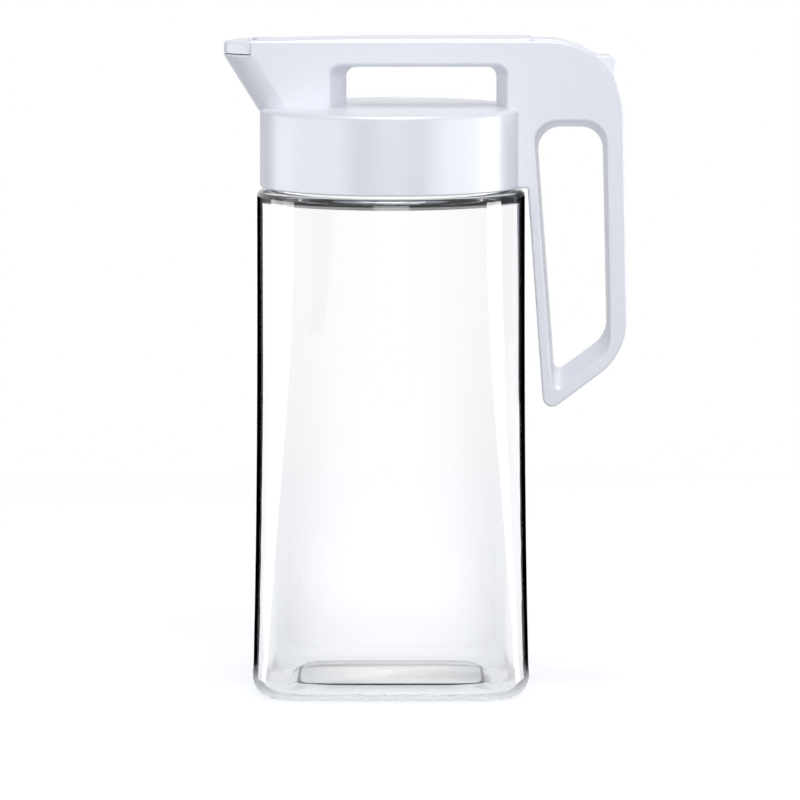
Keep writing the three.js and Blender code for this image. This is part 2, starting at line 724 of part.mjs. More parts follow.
// Ring between the liner's rim and the deck.
function linerSeal() {
  const inner = linerRadius - LINER_RIM + LINER_SEAL_INSET;
  return softRing(inner, linerRadius - LINER_SEAL_INSET, linerSealTop - LINER_SEAL_HEIGHT, linerSealTop);
}

const finishes = {
  clearResin: { color: 0xeaf0f2, roughness: 0.05, metalness: 0 },
  whitePlastic: { color: 0xe8ebf1, roughness: 0.28, metalness: 0 },
  silicone: { color: 0xe3e5e6, roughness: 0.6, metalness: 0 },
  steel: { color: 0xb9bcc0, roughness: 0.25, metalness: 1 },
};

function piece(name, body, finish) {
  const { vertProperties, triVerts } = body.getMesh();
  const geometry = new THREE.BufferGeometry();
  geometry.setAttribute('position', new THREE.BufferAttribute(vertProperties, 3));
  geometry.setIndex(new THREE.BufferAttribute(triVerts, 1));
  geometry.computeVertexNormals();
  const mesh = new THREE.Mesh(geometry, new THREE.MeshStandardMaterial(finishes[finish]));
  mesh.name = name;
  return mesh;
}

const pitcher = new THREE.Group();
pitcher.add(
  piece('jug_body', jugBody(), 'clearResin'),
  piece('lid_shell', lidShell(), 'whitePlastic'),
  piece('lid_liner', lidLiner(), 'whitePlastic'),
  piece('lid_gasket', lidGasket(), 'silicone'),
  piece('liner_seal', linerSeal(), 'silicone'),
  piece('pour_lever', pourLever(), 'whitePlastic'),
  piece('flap_seal', flapSeal(), 'silicone'),
  piece('lever_pin', leverPin(), 'steel'),
  piece('lever_spring', leverSpring(), 'steel'),
);

const box = new THREE.Box3().setFromObject(pitcher);
pitcher.position.x = -(box.min.x + box.max.x) / 2;

export default pitcher;
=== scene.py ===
"""Clear fridge pitcher with a white screw lid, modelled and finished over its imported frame.

Shapes are worked out in millimetres about the jug's own axis, with +Z up, the spout towards -X and the
handle towards +X, and each finished mesh is then put in the frame's metres.
"""

import logging
import math
from collections.abc import Callable, Sequence
from dataclasses import dataclass, field
from enum import Enum

import bmesh
import bpy
from mathutils import Matrix, Vector


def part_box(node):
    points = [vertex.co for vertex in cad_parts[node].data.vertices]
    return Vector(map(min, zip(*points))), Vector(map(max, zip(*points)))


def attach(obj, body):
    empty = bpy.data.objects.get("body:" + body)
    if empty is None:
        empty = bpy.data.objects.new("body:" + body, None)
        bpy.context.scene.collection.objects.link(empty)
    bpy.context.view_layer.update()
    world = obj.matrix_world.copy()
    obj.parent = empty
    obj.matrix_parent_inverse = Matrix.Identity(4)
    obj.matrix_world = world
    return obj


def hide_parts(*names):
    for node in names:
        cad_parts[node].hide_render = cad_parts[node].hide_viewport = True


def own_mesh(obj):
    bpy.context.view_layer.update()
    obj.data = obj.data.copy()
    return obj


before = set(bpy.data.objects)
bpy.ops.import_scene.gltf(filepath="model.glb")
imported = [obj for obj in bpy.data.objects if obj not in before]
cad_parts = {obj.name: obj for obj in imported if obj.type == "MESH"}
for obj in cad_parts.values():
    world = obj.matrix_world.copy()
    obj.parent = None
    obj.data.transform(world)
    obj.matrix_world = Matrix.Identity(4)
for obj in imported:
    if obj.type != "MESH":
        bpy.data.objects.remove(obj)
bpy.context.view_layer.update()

LOG = logging.getLogger("pitcher")

# Metres in a millimetre, the gap at which points are merged, and how far a cutter reaches past a face.
MM = 0.001
WELD = 1e-4
PAST = 1.0
# Chords in an arc of an outline, in the round nose of a plan and in a full turn about the jug's axis.
ARC_STEPS = 10
NOSE_STEPS = 4 * ARC_STEPS
ROUND_STEPS = 160
# Faces that meet at more than this keep a crisp edge.
SHARP_ANGLE = math.radians(32)
# Range that most values of a noise texture keep to.
NOISE_RANGE = (0.2, 0.8)
# Places of the colour sockets on a Mix node, which share their names with its other sockets.
MIX_FIRST, MIX_SECOND, MIX_RESULT = 6, 7, 2

Corner = tuple[float, float, float]
Colour = tuple[float, float, float, float]


class Join(Enum):
    """How a tool body is combined with a workpiece."""

    ADD = "UNION"
    CUT = "DIFFERENCE"


class Glow(Enum):
    """What a lamp does for the picture."""

    FULL = "lights every surface and shows in gloss"
    MIRROR = "shows in gloss only"
    LID_MIRROR = "shows in the gloss of the lid and lever only"
    MATT = "lights matt surfaces only"


class Plane(Enum):
    """Plane that an outline is drawn in: seen from above, or seen from the side."""

    PLAN = "plan"
    SIDE = "side"


def axis_x() -> float:
    """Return the X of the jug's axis in the frame, in metres, from the round ring on its neck."""
    low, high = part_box("lid_gasket")
    return (low[0] + high[0]) / 2


AXIS = Vector((axis_x(), 0, 0))


def packed(node: str) -> tuple[Vector, Vector]:
    """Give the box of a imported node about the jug's axis.

    Args:
        node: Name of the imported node.

    Returns:
        Its lowest and highest corners in millimetres.
    """
    low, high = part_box(node)
    return (Vector(low) - AXIS) / MM, (Vector(high) - AXIS) / MM


def ring_radii(node: str) -> tuple[float, float]:
    """Read the inner and outer radius of a packed ring from its own points.

    Args:
        node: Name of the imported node.

    Returns:
        Inner and outer radius in millimetres.
    """
    points = [(Vector(v.co) - AXIS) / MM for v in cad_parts[node].data.vertices]
    radii = [math.hypot(p.x, p.y) for p in points]
    return min(radii), max(radii)


def linear(hex_colour: str) -> Colour:
    """Turn an sRGB colour into the linear one that shaders and lamps take.

    Args:
        hex_colour: Six hexadecimal digits after a hash sign.

    Returns:
        Red, green, blue and a full alpha.
    """
    parts = [int(hex_colour[i:i + 2], 16) / 255 for i in (1, 3, 5)]
    # The standard's own curve: a straight stretch near black, then a power.
    red, green, blue = (p / 12.92 if p <= 0.04045 else ((p + 0.055) / 1.055) ** 2.4 for p in parts)
    return red, green, blue, 1.0


def add_node(tree: bpy.types.NodeTree, kind: str, settings: dict[str, object] | None = None,
             inputs: dict[str | int, object] | None = None) -> bpy.types.Node:
    """Add a node with its settings, constants and links.

    Args:
        tree: Node tree that gets the node.
        kind: Node type's identifier.
        settings: Properties of the node.
        inputs: Input names or places, each with a constant or the output socket that feeds it.

    Returns:
        The new node.
    """
    node = tree.nodes.new(kind)
    for name, value in (settings or {}).items():
        setattr(node, name, value)
    for name, value in (inputs or {}).items():
        if isinstance(value, bpy.types.NodeSocket):
            tree.links.new(value, node.inputs[name])
        else:
            node.inputs[name].default_value = value
    return node


def arc(a: float, b: float, radius: float, start: float, end: float,
        steps: int = ARC_STEPS) -> list[Vector]:
    """Draw a round stretch.

    Args:
        a: First coordinate of the centre.
        b: Second coordinate of the centre.
        radius: Radius of the arc.
        start: Angle of the first point in degrees.
        end: Angle of the last point in degrees.
        steps: Number of chords.

    Returns:
        Two-dimensional points, both ends included.
    """
    angles = (math.radians(start + (end - start) * i / steps) for i in range(steps + 1))
    return [Vector((a + radius * math.cos(t), b + radius * math.sin(t))) for t in angles]


def rounded(corners: Sequence[Corner], steps: int = ARC_STEPS) -> list[Vector]:
    """Draw a closed outline whose corners are turned by arcs.

    Args:
        corners: Each corner's two coordinates and its radius, 0 for a sharp one.
        steps: Number of chords in each arc.

    Returns:
        Two-dimensional points in order.
    """
    outline: list[Vector] = []
    for i, (a, b, radius) in enumerate(corners):
        corner = Vector((a, b))
        if not radius:
            outline.append(corner)
            continue
        back = (Vector(corners[i - 1][:2]) - corner).normalized()
        ahead = (Vector(corners[(i + 1) % len(corners)][:2]) - corner).normalized()
        half = math.acos(max(-1.0, min(1.0, back.dot(ahead)))) / 2
        centre = corner + (back + ahead).normalized() * (radius / math.sin(half))
        first = corner + back * (radius / math.tan(half)) - centre
        last = corner + ahead * (radius / math.tan(half)) - centre
        start = math.atan2(first.y, first.x)
        sweep = math.remainder(math.atan2(last.y, last.x) - start, 2 * math.pi)
        outline += arc(centre.x, centre.y, radius, math.degrees(start), math.degrees(start + sweep), steps)
    return outline


def on_line(start: Sequence[float], end: Sequence[float], z: float) -> float:
    """Return the X at a height on the straight line through two points of X and Z."""
    return start[0] + (end[0] - start[0]) * (z - start[1]) / (end[1] - start[1])


def nose(front: float, back: float, half: float, steps: int = NOSE_STEPS) -> list[Vector]:
    """Draw a plan outline with a round front and a straight back.

    Args:
        front: X of the foremost point.
        back: X of the straight back.
        half: Radius of the round front.
        steps: Number of chords in the round.

    Returns:
        Two-dimensional points in order.
    """
    centre = front + half
    if back < centre:
        start = math.degrees(math.acos((back - centre) / half))
        return arc(centre, 0, half, start, 360 - start, steps)
    return arc(centre, 0, half, 90, 270, steps) + [Vector((back, -half)), Vector((back, half))]


class Workpiece:
    """Closed body in millimetres about the jug's axis, on its way to becoming a mesh."""

    def __init__(self) -> None:
        """Start with no geometry."""
        self.bm = bmesh.new()

    @classmethod
    def revolved(cls, profile: Sequence[Vector], steps: int = ROUND_STEPS) -> "Workpiece":
        """Spin a profile about the jug's axis.

        Args:
            profile: Points of radius and height that start and end on the axis or close on themselves.
            steps: Number of steps round the axis.

        Returns:
            The closed body.
        """
        piece = cls()
        bm = piece.bm
        verts = [bm.verts.new((p.x, 0, p.y)) for p in profile]
        edges = [bm.edges.new(pair) for pair in zip(verts, verts[1:])]
        if profile[0].x > WELD:
            edges.append(bm.edges.new((verts[-1], verts[0])))
        bmesh.ops.spin(bm, geom=verts + edges, cent=(0, 0, 0), axis=(0, 0, 1), angle=2 * math.pi,
                       steps=steps, use_merge=True)
        return piece.mended()

    @classmethod
    def lofted(cls, loops: Sequence[Sequence[Vector]]) -> "Workpiece":
        """Skin a row of closed loops and cap both ends.

        Args:
            loops: Loops of equal point count, in order.

        Returns:
            The closed body.
        """
        piece = cls()
        bm = piece.bm
        rings = []
        for loop in loops:
            verts = [bm.verts.new(p) for p in loop]
            rings.append((verts, [bm.edges.new(pair) for pair in zip(verts, verts[1:] + verts[:1])]))
        for (_, near), (_, far) in zip(rings, rings[1:]):
            bmesh.ops.bridge_loops(bm, edges=near + far)
        bm.faces.new(rings[0][0])
        bm.faces.new(rings[-1][0])
        return piece.mended()

    @classmethod
    def thickened(cls, outline: Sequence[Vector], low: float, high: float, plane: Plane,
                  edges: tuple[float, float] = (0, 0), segments: int = 6) -> "Workpiece":
        """Give an outline a thickness and round the edges of its faces.

        Args:
            outline: Points in the plane.
            low: Where the body starts, along Z for a plan and along Y for a side outline.
            high: Where it ends.
            plane: Plane that the outline is drawn in.
            edges: Radius of the rounded edge at the start and at the end.
            segments: Number of faces across each rounded edge.

        Returns:
            The closed body.
        """
        piece = cls()
        bm = piece.bm
        side = plane is Plane.SIDE
        verts = [bm.verts.new((p.x, low, p.y) if side else (p.x, p.y, low)) for p in outline]
        face = bm.faces.new(verts)
        grown = bmesh.ops.extrude_face_region(bm, geom=[face], use_keep_orig=True)["geom"]
        moved = [g for g in grown if isinstance(g, bmesh.types.BMVert)]
        thickness = high - low
        bmesh.ops.translate(bm, verts=moved, vec=(0, thickness, 0) if side else (0, 0, thickness))
        piece.mended()
        caps = sorted((f for f in bm.faces if len(f.verts) == len(outline)),
                      key=lambda f: f.calc_center_median().dot((0, 1, 0) if side else (0, 0, 1)))
        rims = [list(cap.edges) for cap in caps]
        for rim, edge in zip(rims, edges):
            if edge:
                bmesh.ops.bevel(bm, geom=rim, offset=edge, offset_type="OFFSET", affect="EDGES",
                                segments=segments, profile=0.5, material=-1, clamp_overlap=False)
        return piece.mended()

    @classmethod
    def block(cls, low: Sequence[float], high: Sequence[float]) -> "Workpiece":
        """Make a plain cutting block between two corners.

        Args:
            low: Lowest corner.
            high: Highest corner.

        Returns:
            The closed body.
        """
        piece = cls()
        middle = (Vector(low) + Vector(high)) / 2
        size = Vector(high) - Vector(low)
        place = Matrix.Translation(middle) @ Matrix.Diagonal((*size, 1))
        bmesh.ops.create_cube(piece.bm, size=1, matrix=place)
        return piece

    @classmethod
    def bar(cls, radius: float, start: Sequence[float], end: Sequence[float],
            sides: int = 32) -> "Workpiece":
        """Make a round bar between two points.

        Args:
            radius: Radius of the bar.
            start: Middle of one end.
            end: Middle of the other end.
            sides: Number of flats round it.

        Returns:
            The closed body.
        """
        piece = cls()
        along = Vector(end) - Vector(start)
        turn = along.to_track_quat("Z", "Y").to_matrix().to_4x4()
        place = Matrix.Translation(Vector(start) + along / 2) @ turn
        bmesh.ops.create_cone(piece.bm, cap_ends=True, segments=sides, radius1=radius, radius2=radius,
                              depth=along.length, matrix=place)
        return piece

    @classmethod
    def helix(cls, section: Sequence[Vector], stages: Sequence[tuple[float, float]],
              steps: int) -> "Workpiece":
        """Wind a closed section about the jug's axis as it climbs.

        Args:
            section: Points of radius and height.
            stages: Number of turns and climb in one turn of each stretch, from the foot up.
            steps: Number of steps in one turn.

        Returns:
            The closed body.
        """
        piece = cls()
        bm = piece.bm
        geom = [bm.faces.new([bm.verts.new((p.x, 0, p.y)) for p in section])]
        for turns, pitch in stages:
            geom = bmesh.ops.spin(bm, geom=geom, cent=(0, 0, 0), axis=(0, 0, 1), angle=2 * math.pi * turns,
                                  dvec=(0, 0, pitch / steps), steps=round(turns * steps))["geom_last"]
        return piece.mended()

    def mended(self) -> "Workpiece":
        """Merge doubled points and turn the faces outwards.

        Returns:
            This workpiece.
        """
        bmesh.ops.remove_doubles(self.bm, verts=self.bm.verts, dist=WELD)
        bmesh.ops.recalc_face_normals(self.bm, faces=self.bm.faces)
        return self

    def combine(self, how: Join, *tools: "Workpiece") -> "Workpiece":
        """Join tool bodies to this one or cut them out of it.

        Args:
            how: Whether the tools are added or cut away.
            tools: Bodies that are used up by this.

        Returns:
            This workpiece.
        """
        for tool in tools:
            target, other = self.stand_in("target"), tool.stand_in("tool")
            boolean = target.modifiers.new("join", "BOOLEAN")
            boolean.operation = how.value
            boolean.solver = "EXACT"
            boolean.object = other
            depsgraph = bpy.context.evaluated_depsgraph_get()
            made = bpy.data.meshes.new_from_object(target.evaluated_get(depsgraph))
            self.bm.clear()
            self.bm.from_mesh(made)
            bpy.data.meshes.remove(made)
            for spent in (target, other):
                bpy.data.meshes.remove(spent.data)
            tool.bm.free()
            self.mended()
        return self

    def stand_in(self, name: str) -> bpy.types.Object:
        """Make a short-lived object of this workpiece for a boolean cut.

        Args:
            name: Name of the object.

        Returns:
            The linked object.
        """
        mesh = bpy.data.meshes.new(name)
        self.bm.to_mesh(mesh)
        thing = bpy.data.objects.new(name, mesh)
        bpy.context.scene.collection.objects.link(thing)
        return thing

    def shifted(self, x: float, y: float, z: float) -> "Workpiece":
        """Move the whole workpiece and return it."""
        bmesh.ops.translate(self.bm, verts=self.bm.verts, vec=(x, y, z))
        return self

    def to_piece(self, name: str, finish: "Finish", body: str, node: str) -> bpy.types.Object:
        """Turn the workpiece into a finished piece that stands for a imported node.

        Args:
            name: Name of the piece.
            finish: Finish that it is dressed with.
            body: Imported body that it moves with.
            node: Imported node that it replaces.

        Returns:
            The piece, in the frame's metres.
        """
        self.mended()
        place = Matrix.Translation(AXIS) @ Matrix.Scale(MM, 4)
        bmesh.ops.transform(self.bm, matrix=place, verts=self.bm.verts)
        mesh = bpy.data.meshes.new(name)
        self.bm.to_mesh(mesh)
        self.bm.free()
        mesh.shade_smooth()
        mesh.set_sharp_from_angle(angle=SHARP_ANGLE)
        piece = bpy.data.objects.new(name, mesh)
        bpy.context.scene.collection.objects.link(piece)
        flats = piece.modifiers.new("flats", "WEIGHTED_NORMAL")
        flats.keep_sharp = True
        mesh.materials.append(finish.material())
        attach(piece, body)
        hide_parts(node)
        LOG.info("%s: %d faces", name, len(mesh.polygons))
        return piece


@dataclass(frozen=True)
class Finish:
    """Surface that a piece is dressed with, made once and shared."""

    name: str
    slot: str
    colour: str

    def material(self) -> bpy.types.Material:
        """Give the material of this finish, which is made at its first use.

        Returns:
            The shared material.
        """
        made = bpy.data.materials.get(self.name)
        if made is None:
            made = bpy.data.materials.new(self.name)
            made.use_nodes = True
            made.node_tree.nodes.clear()
            self.shade(made.node_tree)
        return made

    def shade(self, tree: bpy.types.NodeTree) -> None:
        """Fill the material's node tree."""
        raise NotImplementedError


def noise(tree: bpy.types.NodeTree, size_mm: float, detail: float = 2.0) -> bpy.types.NodeSocket:
    """Add an even noise of a real size to a material.

    Args:
        tree: Node tree of the material.
        size_mm: Distance from one bump to the next in millimetres.
        detail: Number of finer layers.

    Returns:
        The noise's value socket.
    """
    coordinates = add_node(tree, "ShaderNodeTexCoord")
    grain = add_node(tree, "ShaderNodeTexNoise", inputs={
        "Vector": coordinates.outputs["Object"], "Scale": 1 / (size_mm * MM), "Detail": detail})
    return grain.outputs["Fac"]


def spread(tree: bpy.types.NodeTree, source: bpy.types.NodeSocket,
           low: float, high: float) -> bpy.types.NodeSocket:
    """Spread a noise over a range.

    Args:
        tree: Node tree of the material.
        source: Socket with the noise.
        low: Value at the noise's low end.
        high: Value at its high end.

    Returns:
        The mapped value socket.
    """
    least, most = NOISE_RANGE
    mapped = add_node(tree, "ShaderNodeMapRange", inputs={
        "Value": source, "From Min": least, "From Max": most, "To Min": low, "To Max": high})
    return mapped.outputs["Result"]


@dataclass(frozen=True)
class WhitePlastic(Finish):
    """Injection-moulded white ABS: a cool white whose soft gloss varies slowly across the moulding."""

    gloss: tuple[float, float] = (0.28, 0.32)
    ior: float = 1.5
    cloud_mm: float = 60.0

    def shade(self, tree: bpy.types.NodeTree) -> None:
        """Fill the material's node tree.

        Args:
            tree: Node tree of the material.
        """
        cloud = noise(tree, self.cloud_mm, detail=0.0)
        shader = add_node(tree, "ShaderNodeBsdfPrincipled", inputs={
            "Base Color": linear(self.colour), "Roughness": spread(tree, cloud, *self.gloss),
            "IOR": self.ior})
        add_node(tree, "ShaderNodeOutputMaterial", inputs={"Surface": shader.outputs["BSDF"]})


@dataclass(frozen=True)
class ClearResin(Finish):
    """Blow-moulded clear copolyester: colourless and glossy, with an outline that looks black."""

    ior: float = 1.57
    gloss_level: float = 0.35
    gloss_fade: tuple[float, float] = (0.55, 0.80)
    facing_blend: float = 0.5
    # Painted shade: the grey that the resin's colour turns towards the square's corners and over the base's
    # panel.
    painted_shade_colour: str = "#B4B8BC"
    shadow_colour: str = "#F0F2F3"
    wave_mm: float = 42.0
    wave_depth_mm: float = 4.0
    wave_strength: float = 0.05
    rim_mark: str = "wall"
    painted_shade_mark: str = "corner"

    def outline(self, tree: bpy.types.NodeTree) -> bpy.types.NodeSocket:
        """Find where the marked wall mirrors nothing, so that its outline is dark.

        That is inside the resin, so that no ray is turned back there, and outside where the eye looks along
        the surface, so that no lamp shows in the edge.

        Args:
            tree: Node tree of the material.

        Returns:
            Socket that is 1 where nothing is mirrored and 0 where the resin keeps its gloss.
        """
        facing = add_node(tree, "ShaderNodeLayerWeight", inputs={"Blend": self.facing_blend})
        start, end = self.gloss_fade
        grazing = add_node(tree, "ShaderNodeMapRange", inputs={
            "Value": facing.outputs["Facing"], "From Min": start, "From Max": end})
        surface = add_node(tree, "ShaderNodeNewGeometry")
        bare = add_node(tree, "ShaderNodeMath", {"operation": "MAXIMUM"}, {
            0: grazing.outputs["Result"], 1: surface.outputs["Backfacing"]})
        wall = add_node(tree, "ShaderNodeAttribute", {"attribute_name": self.rim_mark})
        rim = add_node(tree, "ShaderNodeMath", {"operation": "MULTIPLY"}, {
            0: bare.outputs[0], 1: wall.outputs["Fac"]})
        return rim.outputs[0]

    def resin(self, tree: bpy.types.NodeTree) -> bpy.types.NodeSocket:
        """Make the clear resin, with painted shade that greys it towards the square's corners and over the
        base's panel, and faintly wavy from the mould.

        Args:
            tree: Node tree of the material.

        Returns:
            The shader's socket.
        """
        bump = add_node(tree, "ShaderNodeBump", inputs={
            "Height": noise(tree, self.wave_mm, detail=0.0), "Strength": self.wave_strength,
            "Distance": self.wave_depth_mm * MM})
        # Painted shade towards the corners and over the base's panel, read from its mark on the jug.
        thick = add_node(tree, "ShaderNodeAttribute", {"attribute_name": self.painted_shade_mark})
        tint = add_node(tree, "ShaderNodeMix", {"data_type": "RGBA"}, {
            0: thick.outputs["Fac"], MIX_FIRST: linear(self.colour),
            MIX_SECOND: linear(self.painted_shade_colour)})
        colour, normal = tint.outputs[MIX_RESULT], bump.outputs["Normal"]
        clear = add_node(tree, "ShaderNodeBsdfPrincipled", inputs={
            "Base Color": colour, "Roughness": 0.0, "IOR": self.ior, "Transmission Weight": 1.0,
            "Specular IOR Level": self.gloss_level, "Normal": normal})
        through = add_node(tree, "ShaderNodeBsdfRefraction", inputs={
            "Color": colour, "Roughness": 0.0, "IOR": self.ior, "Normal": normal})
        both = add_node(tree, "ShaderNodeMixShader", inputs={
            0: self.outline(tree), 1: clear.outputs["BSDF"], 2: through.outputs["BSDF"]})
        return both.outputs["Shader"]

    def shade(self, tree: bpy.types.NodeTree) -> None:
        """Fill the material's node tree, which lets most of the lamps' light straight through.

        Args:
            tree: Node tree of the material.
        """
        passing = add_node(tree, "ShaderNodeBsdfTransparent", inputs={"Color": linear(self.shadow_colour)})
        path = add_node(tree, "ShaderNodeLightPath")
        lamps = add_node(tree, "ShaderNodeMath", {"operation": "MAXIMUM"}, {
            0: path.outputs["Is Shadow Ray"], 1: path.outputs["Is Diffuse Ray"]})
        both = add_node(tree, "ShaderNodeMixShader", inputs={
            0: lamps.outputs[0], 1: self.resin(tree), 2: passing.outputs["BSDF"]})
        add_node(tree, "ShaderNodeOutputMaterial", inputs={"Surface": both.outputs["Shader"]})


@dataclass(frozen=True)
class Silicone(Finish):
    """Compression-moulded silicone rubber: milky, dull and a little dusty to the eye."""

    roughness: tuple[float, float] = (0.5, 0.65)
    ior: float = 1.41
    milkiness: float = 0.4
    milk_depth_mm: float = 2.0
    # The dust is drawn coarser than it is, so that it shows.
    dust_mm: float = 0.7
    dust_depth_mm: float = 0.2
    dust_strength: float = 0.08

    def shade(self, tree: bpy.types.NodeTree) -> None:
        """Fill the material's node tree.

        Args:
            tree: Node tree of the material.
        """
        dust = noise(tree, self.dust_mm)
        bump = add_node(tree, "ShaderNodeBump", inputs={
            "Height": dust, "Strength": self.dust_strength, "Distance": self.dust_depth_mm * MM})
        shader = add_node(tree, "ShaderNodeBsdfPrincipled", inputs={
            "Base Color": linear(self.colour), "Roughness": spread(tree, dust, *self.roughness),
            "IOR": self.ior, "Subsurface Weight": self.milkiness, "Subsurface Radius": (1.0, 1.0, 1.0),
            "Subsurface Scale": self.milk_depth_mm * MM, "Normal": bump.outputs["Normal"]})
        add_node(tree, "ShaderNodeOutputMaterial", inputs={"Surface": shader.outputs["BSDF"]})


@dataclass(frozen=True)
class DrawnSteel(Finish):
    """Drawn stainless wire and rod: bright, with fine lines that blur its reflections."""

    roughness: tuple[float, float] = (0.2, 0.34)
    # The lines are drawn coarser than they are, so that they show.
    line_mm: float = 0.25
    line_depth_mm: float = 0.05
    line_strength: float = 0.1
    line_detail: float = 3.0

    def shade(self, tree: bpy.types.NodeTree) -> None:
        """Fill the material's node tree.

        Args:
            tree: Node tree of the material.
        """
        lines = noise(tree, self.line_mm, self.line_detail)
        bump = add_node(tree, "ShaderNodeBump", inputs={
            "Height": lines, "Strength": self.line_strength, "Distance": self.line_depth_mm * MM})
        shader = add_node(tree, "ShaderNodeBsdfPrincipled", inputs={
            "Base Color": linear(self.colour), "Metallic": 1.0,
            "Roughness": spread(tree, lines, *self.roughness), "Normal": bump.outputs["Normal"]})
        add_node(tree, "ShaderNodeOutputMaterial", inputs={"Surface": shader.outputs["BSDF"]})


WHITE = WhitePlastic("moulded_white_abs", "white_plastic", "#ECEEF2")
CLEAR = ClearResin("blown_clear_copolyester", "clear_resin", "#FFFFFF")
RUBBER = Silicone("moulded_silicone", "silicone", "#DFE1E3")
STEEL = DrawnSteel("drawn_stainless_steel", "steel", "#C6C8CC")


@dataclass
class Jug:
    """Clear jug: round at the shoulder, square at the foot, with a pushed-up base and a screw neck."""

    shoulder_z: float = 214.5
    shoulder_radius: float = 2.6
    taper: float = 1.8
    taper_power: float = 3.0
    wall: float = 2.4
    floor: float = 2.8
    foot_radius: float = 8.5
    corners: int = 4
    shoulder_squareness: float = 2.0  # power of a circle
    foot_squareness: float = 7.0
    squaring_power: float = 2.5
    corner_crowding: float = 0.5
    foot_ring: float = 6.0
    push_up_rise: float = 3.0
    push_up_slope: float = 5.2
    neck_wall: float = 2.4
    neck_edge: float = 0.7
    neck_edge_steps: int = 4
    rim_fade: tuple[float, float] = (0.25, 1.4)  # start and end, in radii of the foot
    # Painted shade in the resin's colour: how tightly it gathers into the square's corners, and its
    # strength there and over the base's panel.
    corner_spread: float = 3.0
    corner_painted_shade: float = 0.4
    panel_painted_shade: float = 0.5
    wall_rings: int = 30
    thread_rise: float = 1.1
    thread_half: float = 1.0
    thread_pitch: float = 6.0
    thread_turns: float = 1.75
    thread_free_turns: float = 0.6
    foot_half: float = field(init=False)
    neck_top: float = field(init=False)
    neck_radius: float = field(init=False)

    def __post_init__(self) -> None:
        """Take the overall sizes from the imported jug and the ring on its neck."""
        _, high = packed("jug_body")
        inner, outer = ring_radii("lid_gasket")
        self.foot_half = high.y
        self.neck_top = high.z
        self.neck_radius = (inner + outer + self.neck_wall) / 2

    def squareness(self, z: float) -> float:
        """Give the power of the jug's section at a height.

        Args:
            z: Height above the foot.

        Returns:
            The power of the superellipse.
        """
        down = max(0.0, min(1.0, 1 - z / self.shoulder_z))
        gain = self.foot_squareness - self.shoulder_squareness
        return self.shoulder_squareness + gain * down ** self.squaring_power

    def side(self, low: float, high: float, inset: float) -> list[Vector]:
        """Draw one face of the tapered wall, from its foot up.

        Args:
            low: Height of the first ring.
            high: Height of the last ring.
            inset: Distance in from the outer face.

        Returns:
            Points of radius and height.
        """
        heights = (low + (high - low) * (i + 0.5) / self.wall_rings for i in range(self.wall_rings))
        return [Vector((self.wall_radius(z) - inset, z)) for z in heights]

    def wall_radius(self, z: float) -> float:
        """Give the outer radius of the wall at a height, drawn in quickly above the foot.

        Args:
            z: Height above the foot.

        Returns:
            Radius before the section is swollen to a square.
        """
        up = max(0.0, 1 - z / self.shoulder_z)
        return self.foot_half - self.taper * (1 - up ** self.taper_power)

    def base(self, ring: float, panel: float) -> list[Vector]:
        """Draw one face of the pushed-up base, from its middle out to the foot ring.

        Args:
            ring: Height of the face over the foot ring.
            panel: Height of the face in the middle.

        Returns:
            Points of radius and height.
        """
        flat = self.foot_half - self.foot_radius
        push_up = flat - self.foot_ring
        slope = push_up - self.push_up_slope
        soft = self.push_up_rise / 2
        line = rounded([(0, panel, 0), (slope, panel, soft), (push_up, ring, soft), (flat, ring, 0)])
        return line[:-1]

    def profile(self) -> list[Vector]:
        """Draw the wall's closed half section, from the middle of the base up and back down inside.

        Returns:
            Points of radius and height.
        """
        flat = self.foot_half - self.foot_radius
        wall_top = self.shoulder_z - self.shoulder_radius
        shoulder = self.foot_half - self.taper - self.shoulder_radius
        inner_foot = self.foot_radius - self.wall
        panel_top = self.push_up_rise + self.floor
        bore = self.neck_radius - self.neck_wall
        edge, steps = self.neck_edge, self.neck_edge_steps
        return [
            *self.base(0, self.push_up_rise),
            *arc(flat, self.foot_radius, self.foot_radius, -90, 0),
            *self.side(self.foot_radius, wall_top, 0),
            *arc(shoulder, wall_top, self.shoulder_radius, 0, 90),
            *arc(self.neck_radius + edge, self.shoulder_z + edge, edge, 270, 180, steps),
            *arc(self.neck_radius - edge, self.neck_top - edge, edge, 0, 90, steps),
            *arc(bore + edge, self.neck_top - edge, edge, 90, 180, steps),
            *arc(bore - edge, self.shoulder_z - self.wall + edge, edge, 0, -90, steps),
            *arc(shoulder - self.wall, wall_top - self.wall, self.shoulder_radius, 90, 0),
            *reversed(self.side(panel_top + inner_foot, wall_top - self.wall, self.wall)),
            *arc(flat, self.floor + inner_foot, inner_foot, 0, -90),
            *reversed(self.base(self.floor, panel_top)),
        ]

    def swell(self, piece: Workpiece) -> None:
        """Swell the spun rings from circles to rounded squares towards the foot.

        Args:
            piece: The spun jug.
        """
        gain = self.foot_squareness - self.shoulder_squareness
        for vert in piece.bm.verts:
            radius = math.hypot(vert.co.x, vert.co.y)
            power = self.squareness(vert.co.z)
            crowding = self.corner_crowding * (power - self.shoulder_squareness) / gain
            turn = math.atan2(vert.co.y, vert.co.x)
            angle = turn + crowding * math.sin(self.corners * turn) / self.corners
            cos, sin = math.cos(angle), math.sin(angle)
            grown = radius * (abs(cos) ** power + abs(sin) ** power) ** (-1 / power)
            vert.co.x, vert.co.y = grown * cos, grown * sin

    def thread(self) -> Workpiece:
        """Wind the raised thread up the neck.

        Returns:
            The closed body.
        """
        root = self.neck_radius - self.thread_rise
        tip = self.neck_radius + self.thread_rise
        half = self.thread_half
        foot = self.neck_top - self.thread_pitch * (self.thread_turns + self.thread_free_turns)
        section = [Vector((root, foot - 2 * half)), Vector((tip, foot - half / 2)),
                   Vector((tip, foot + half / 2)), Vector((root, foot + 2 * half))]
        return Workpiece.helix(section, [(self.thread_turns, self.thread_pitch)], ROUND_STEPS)

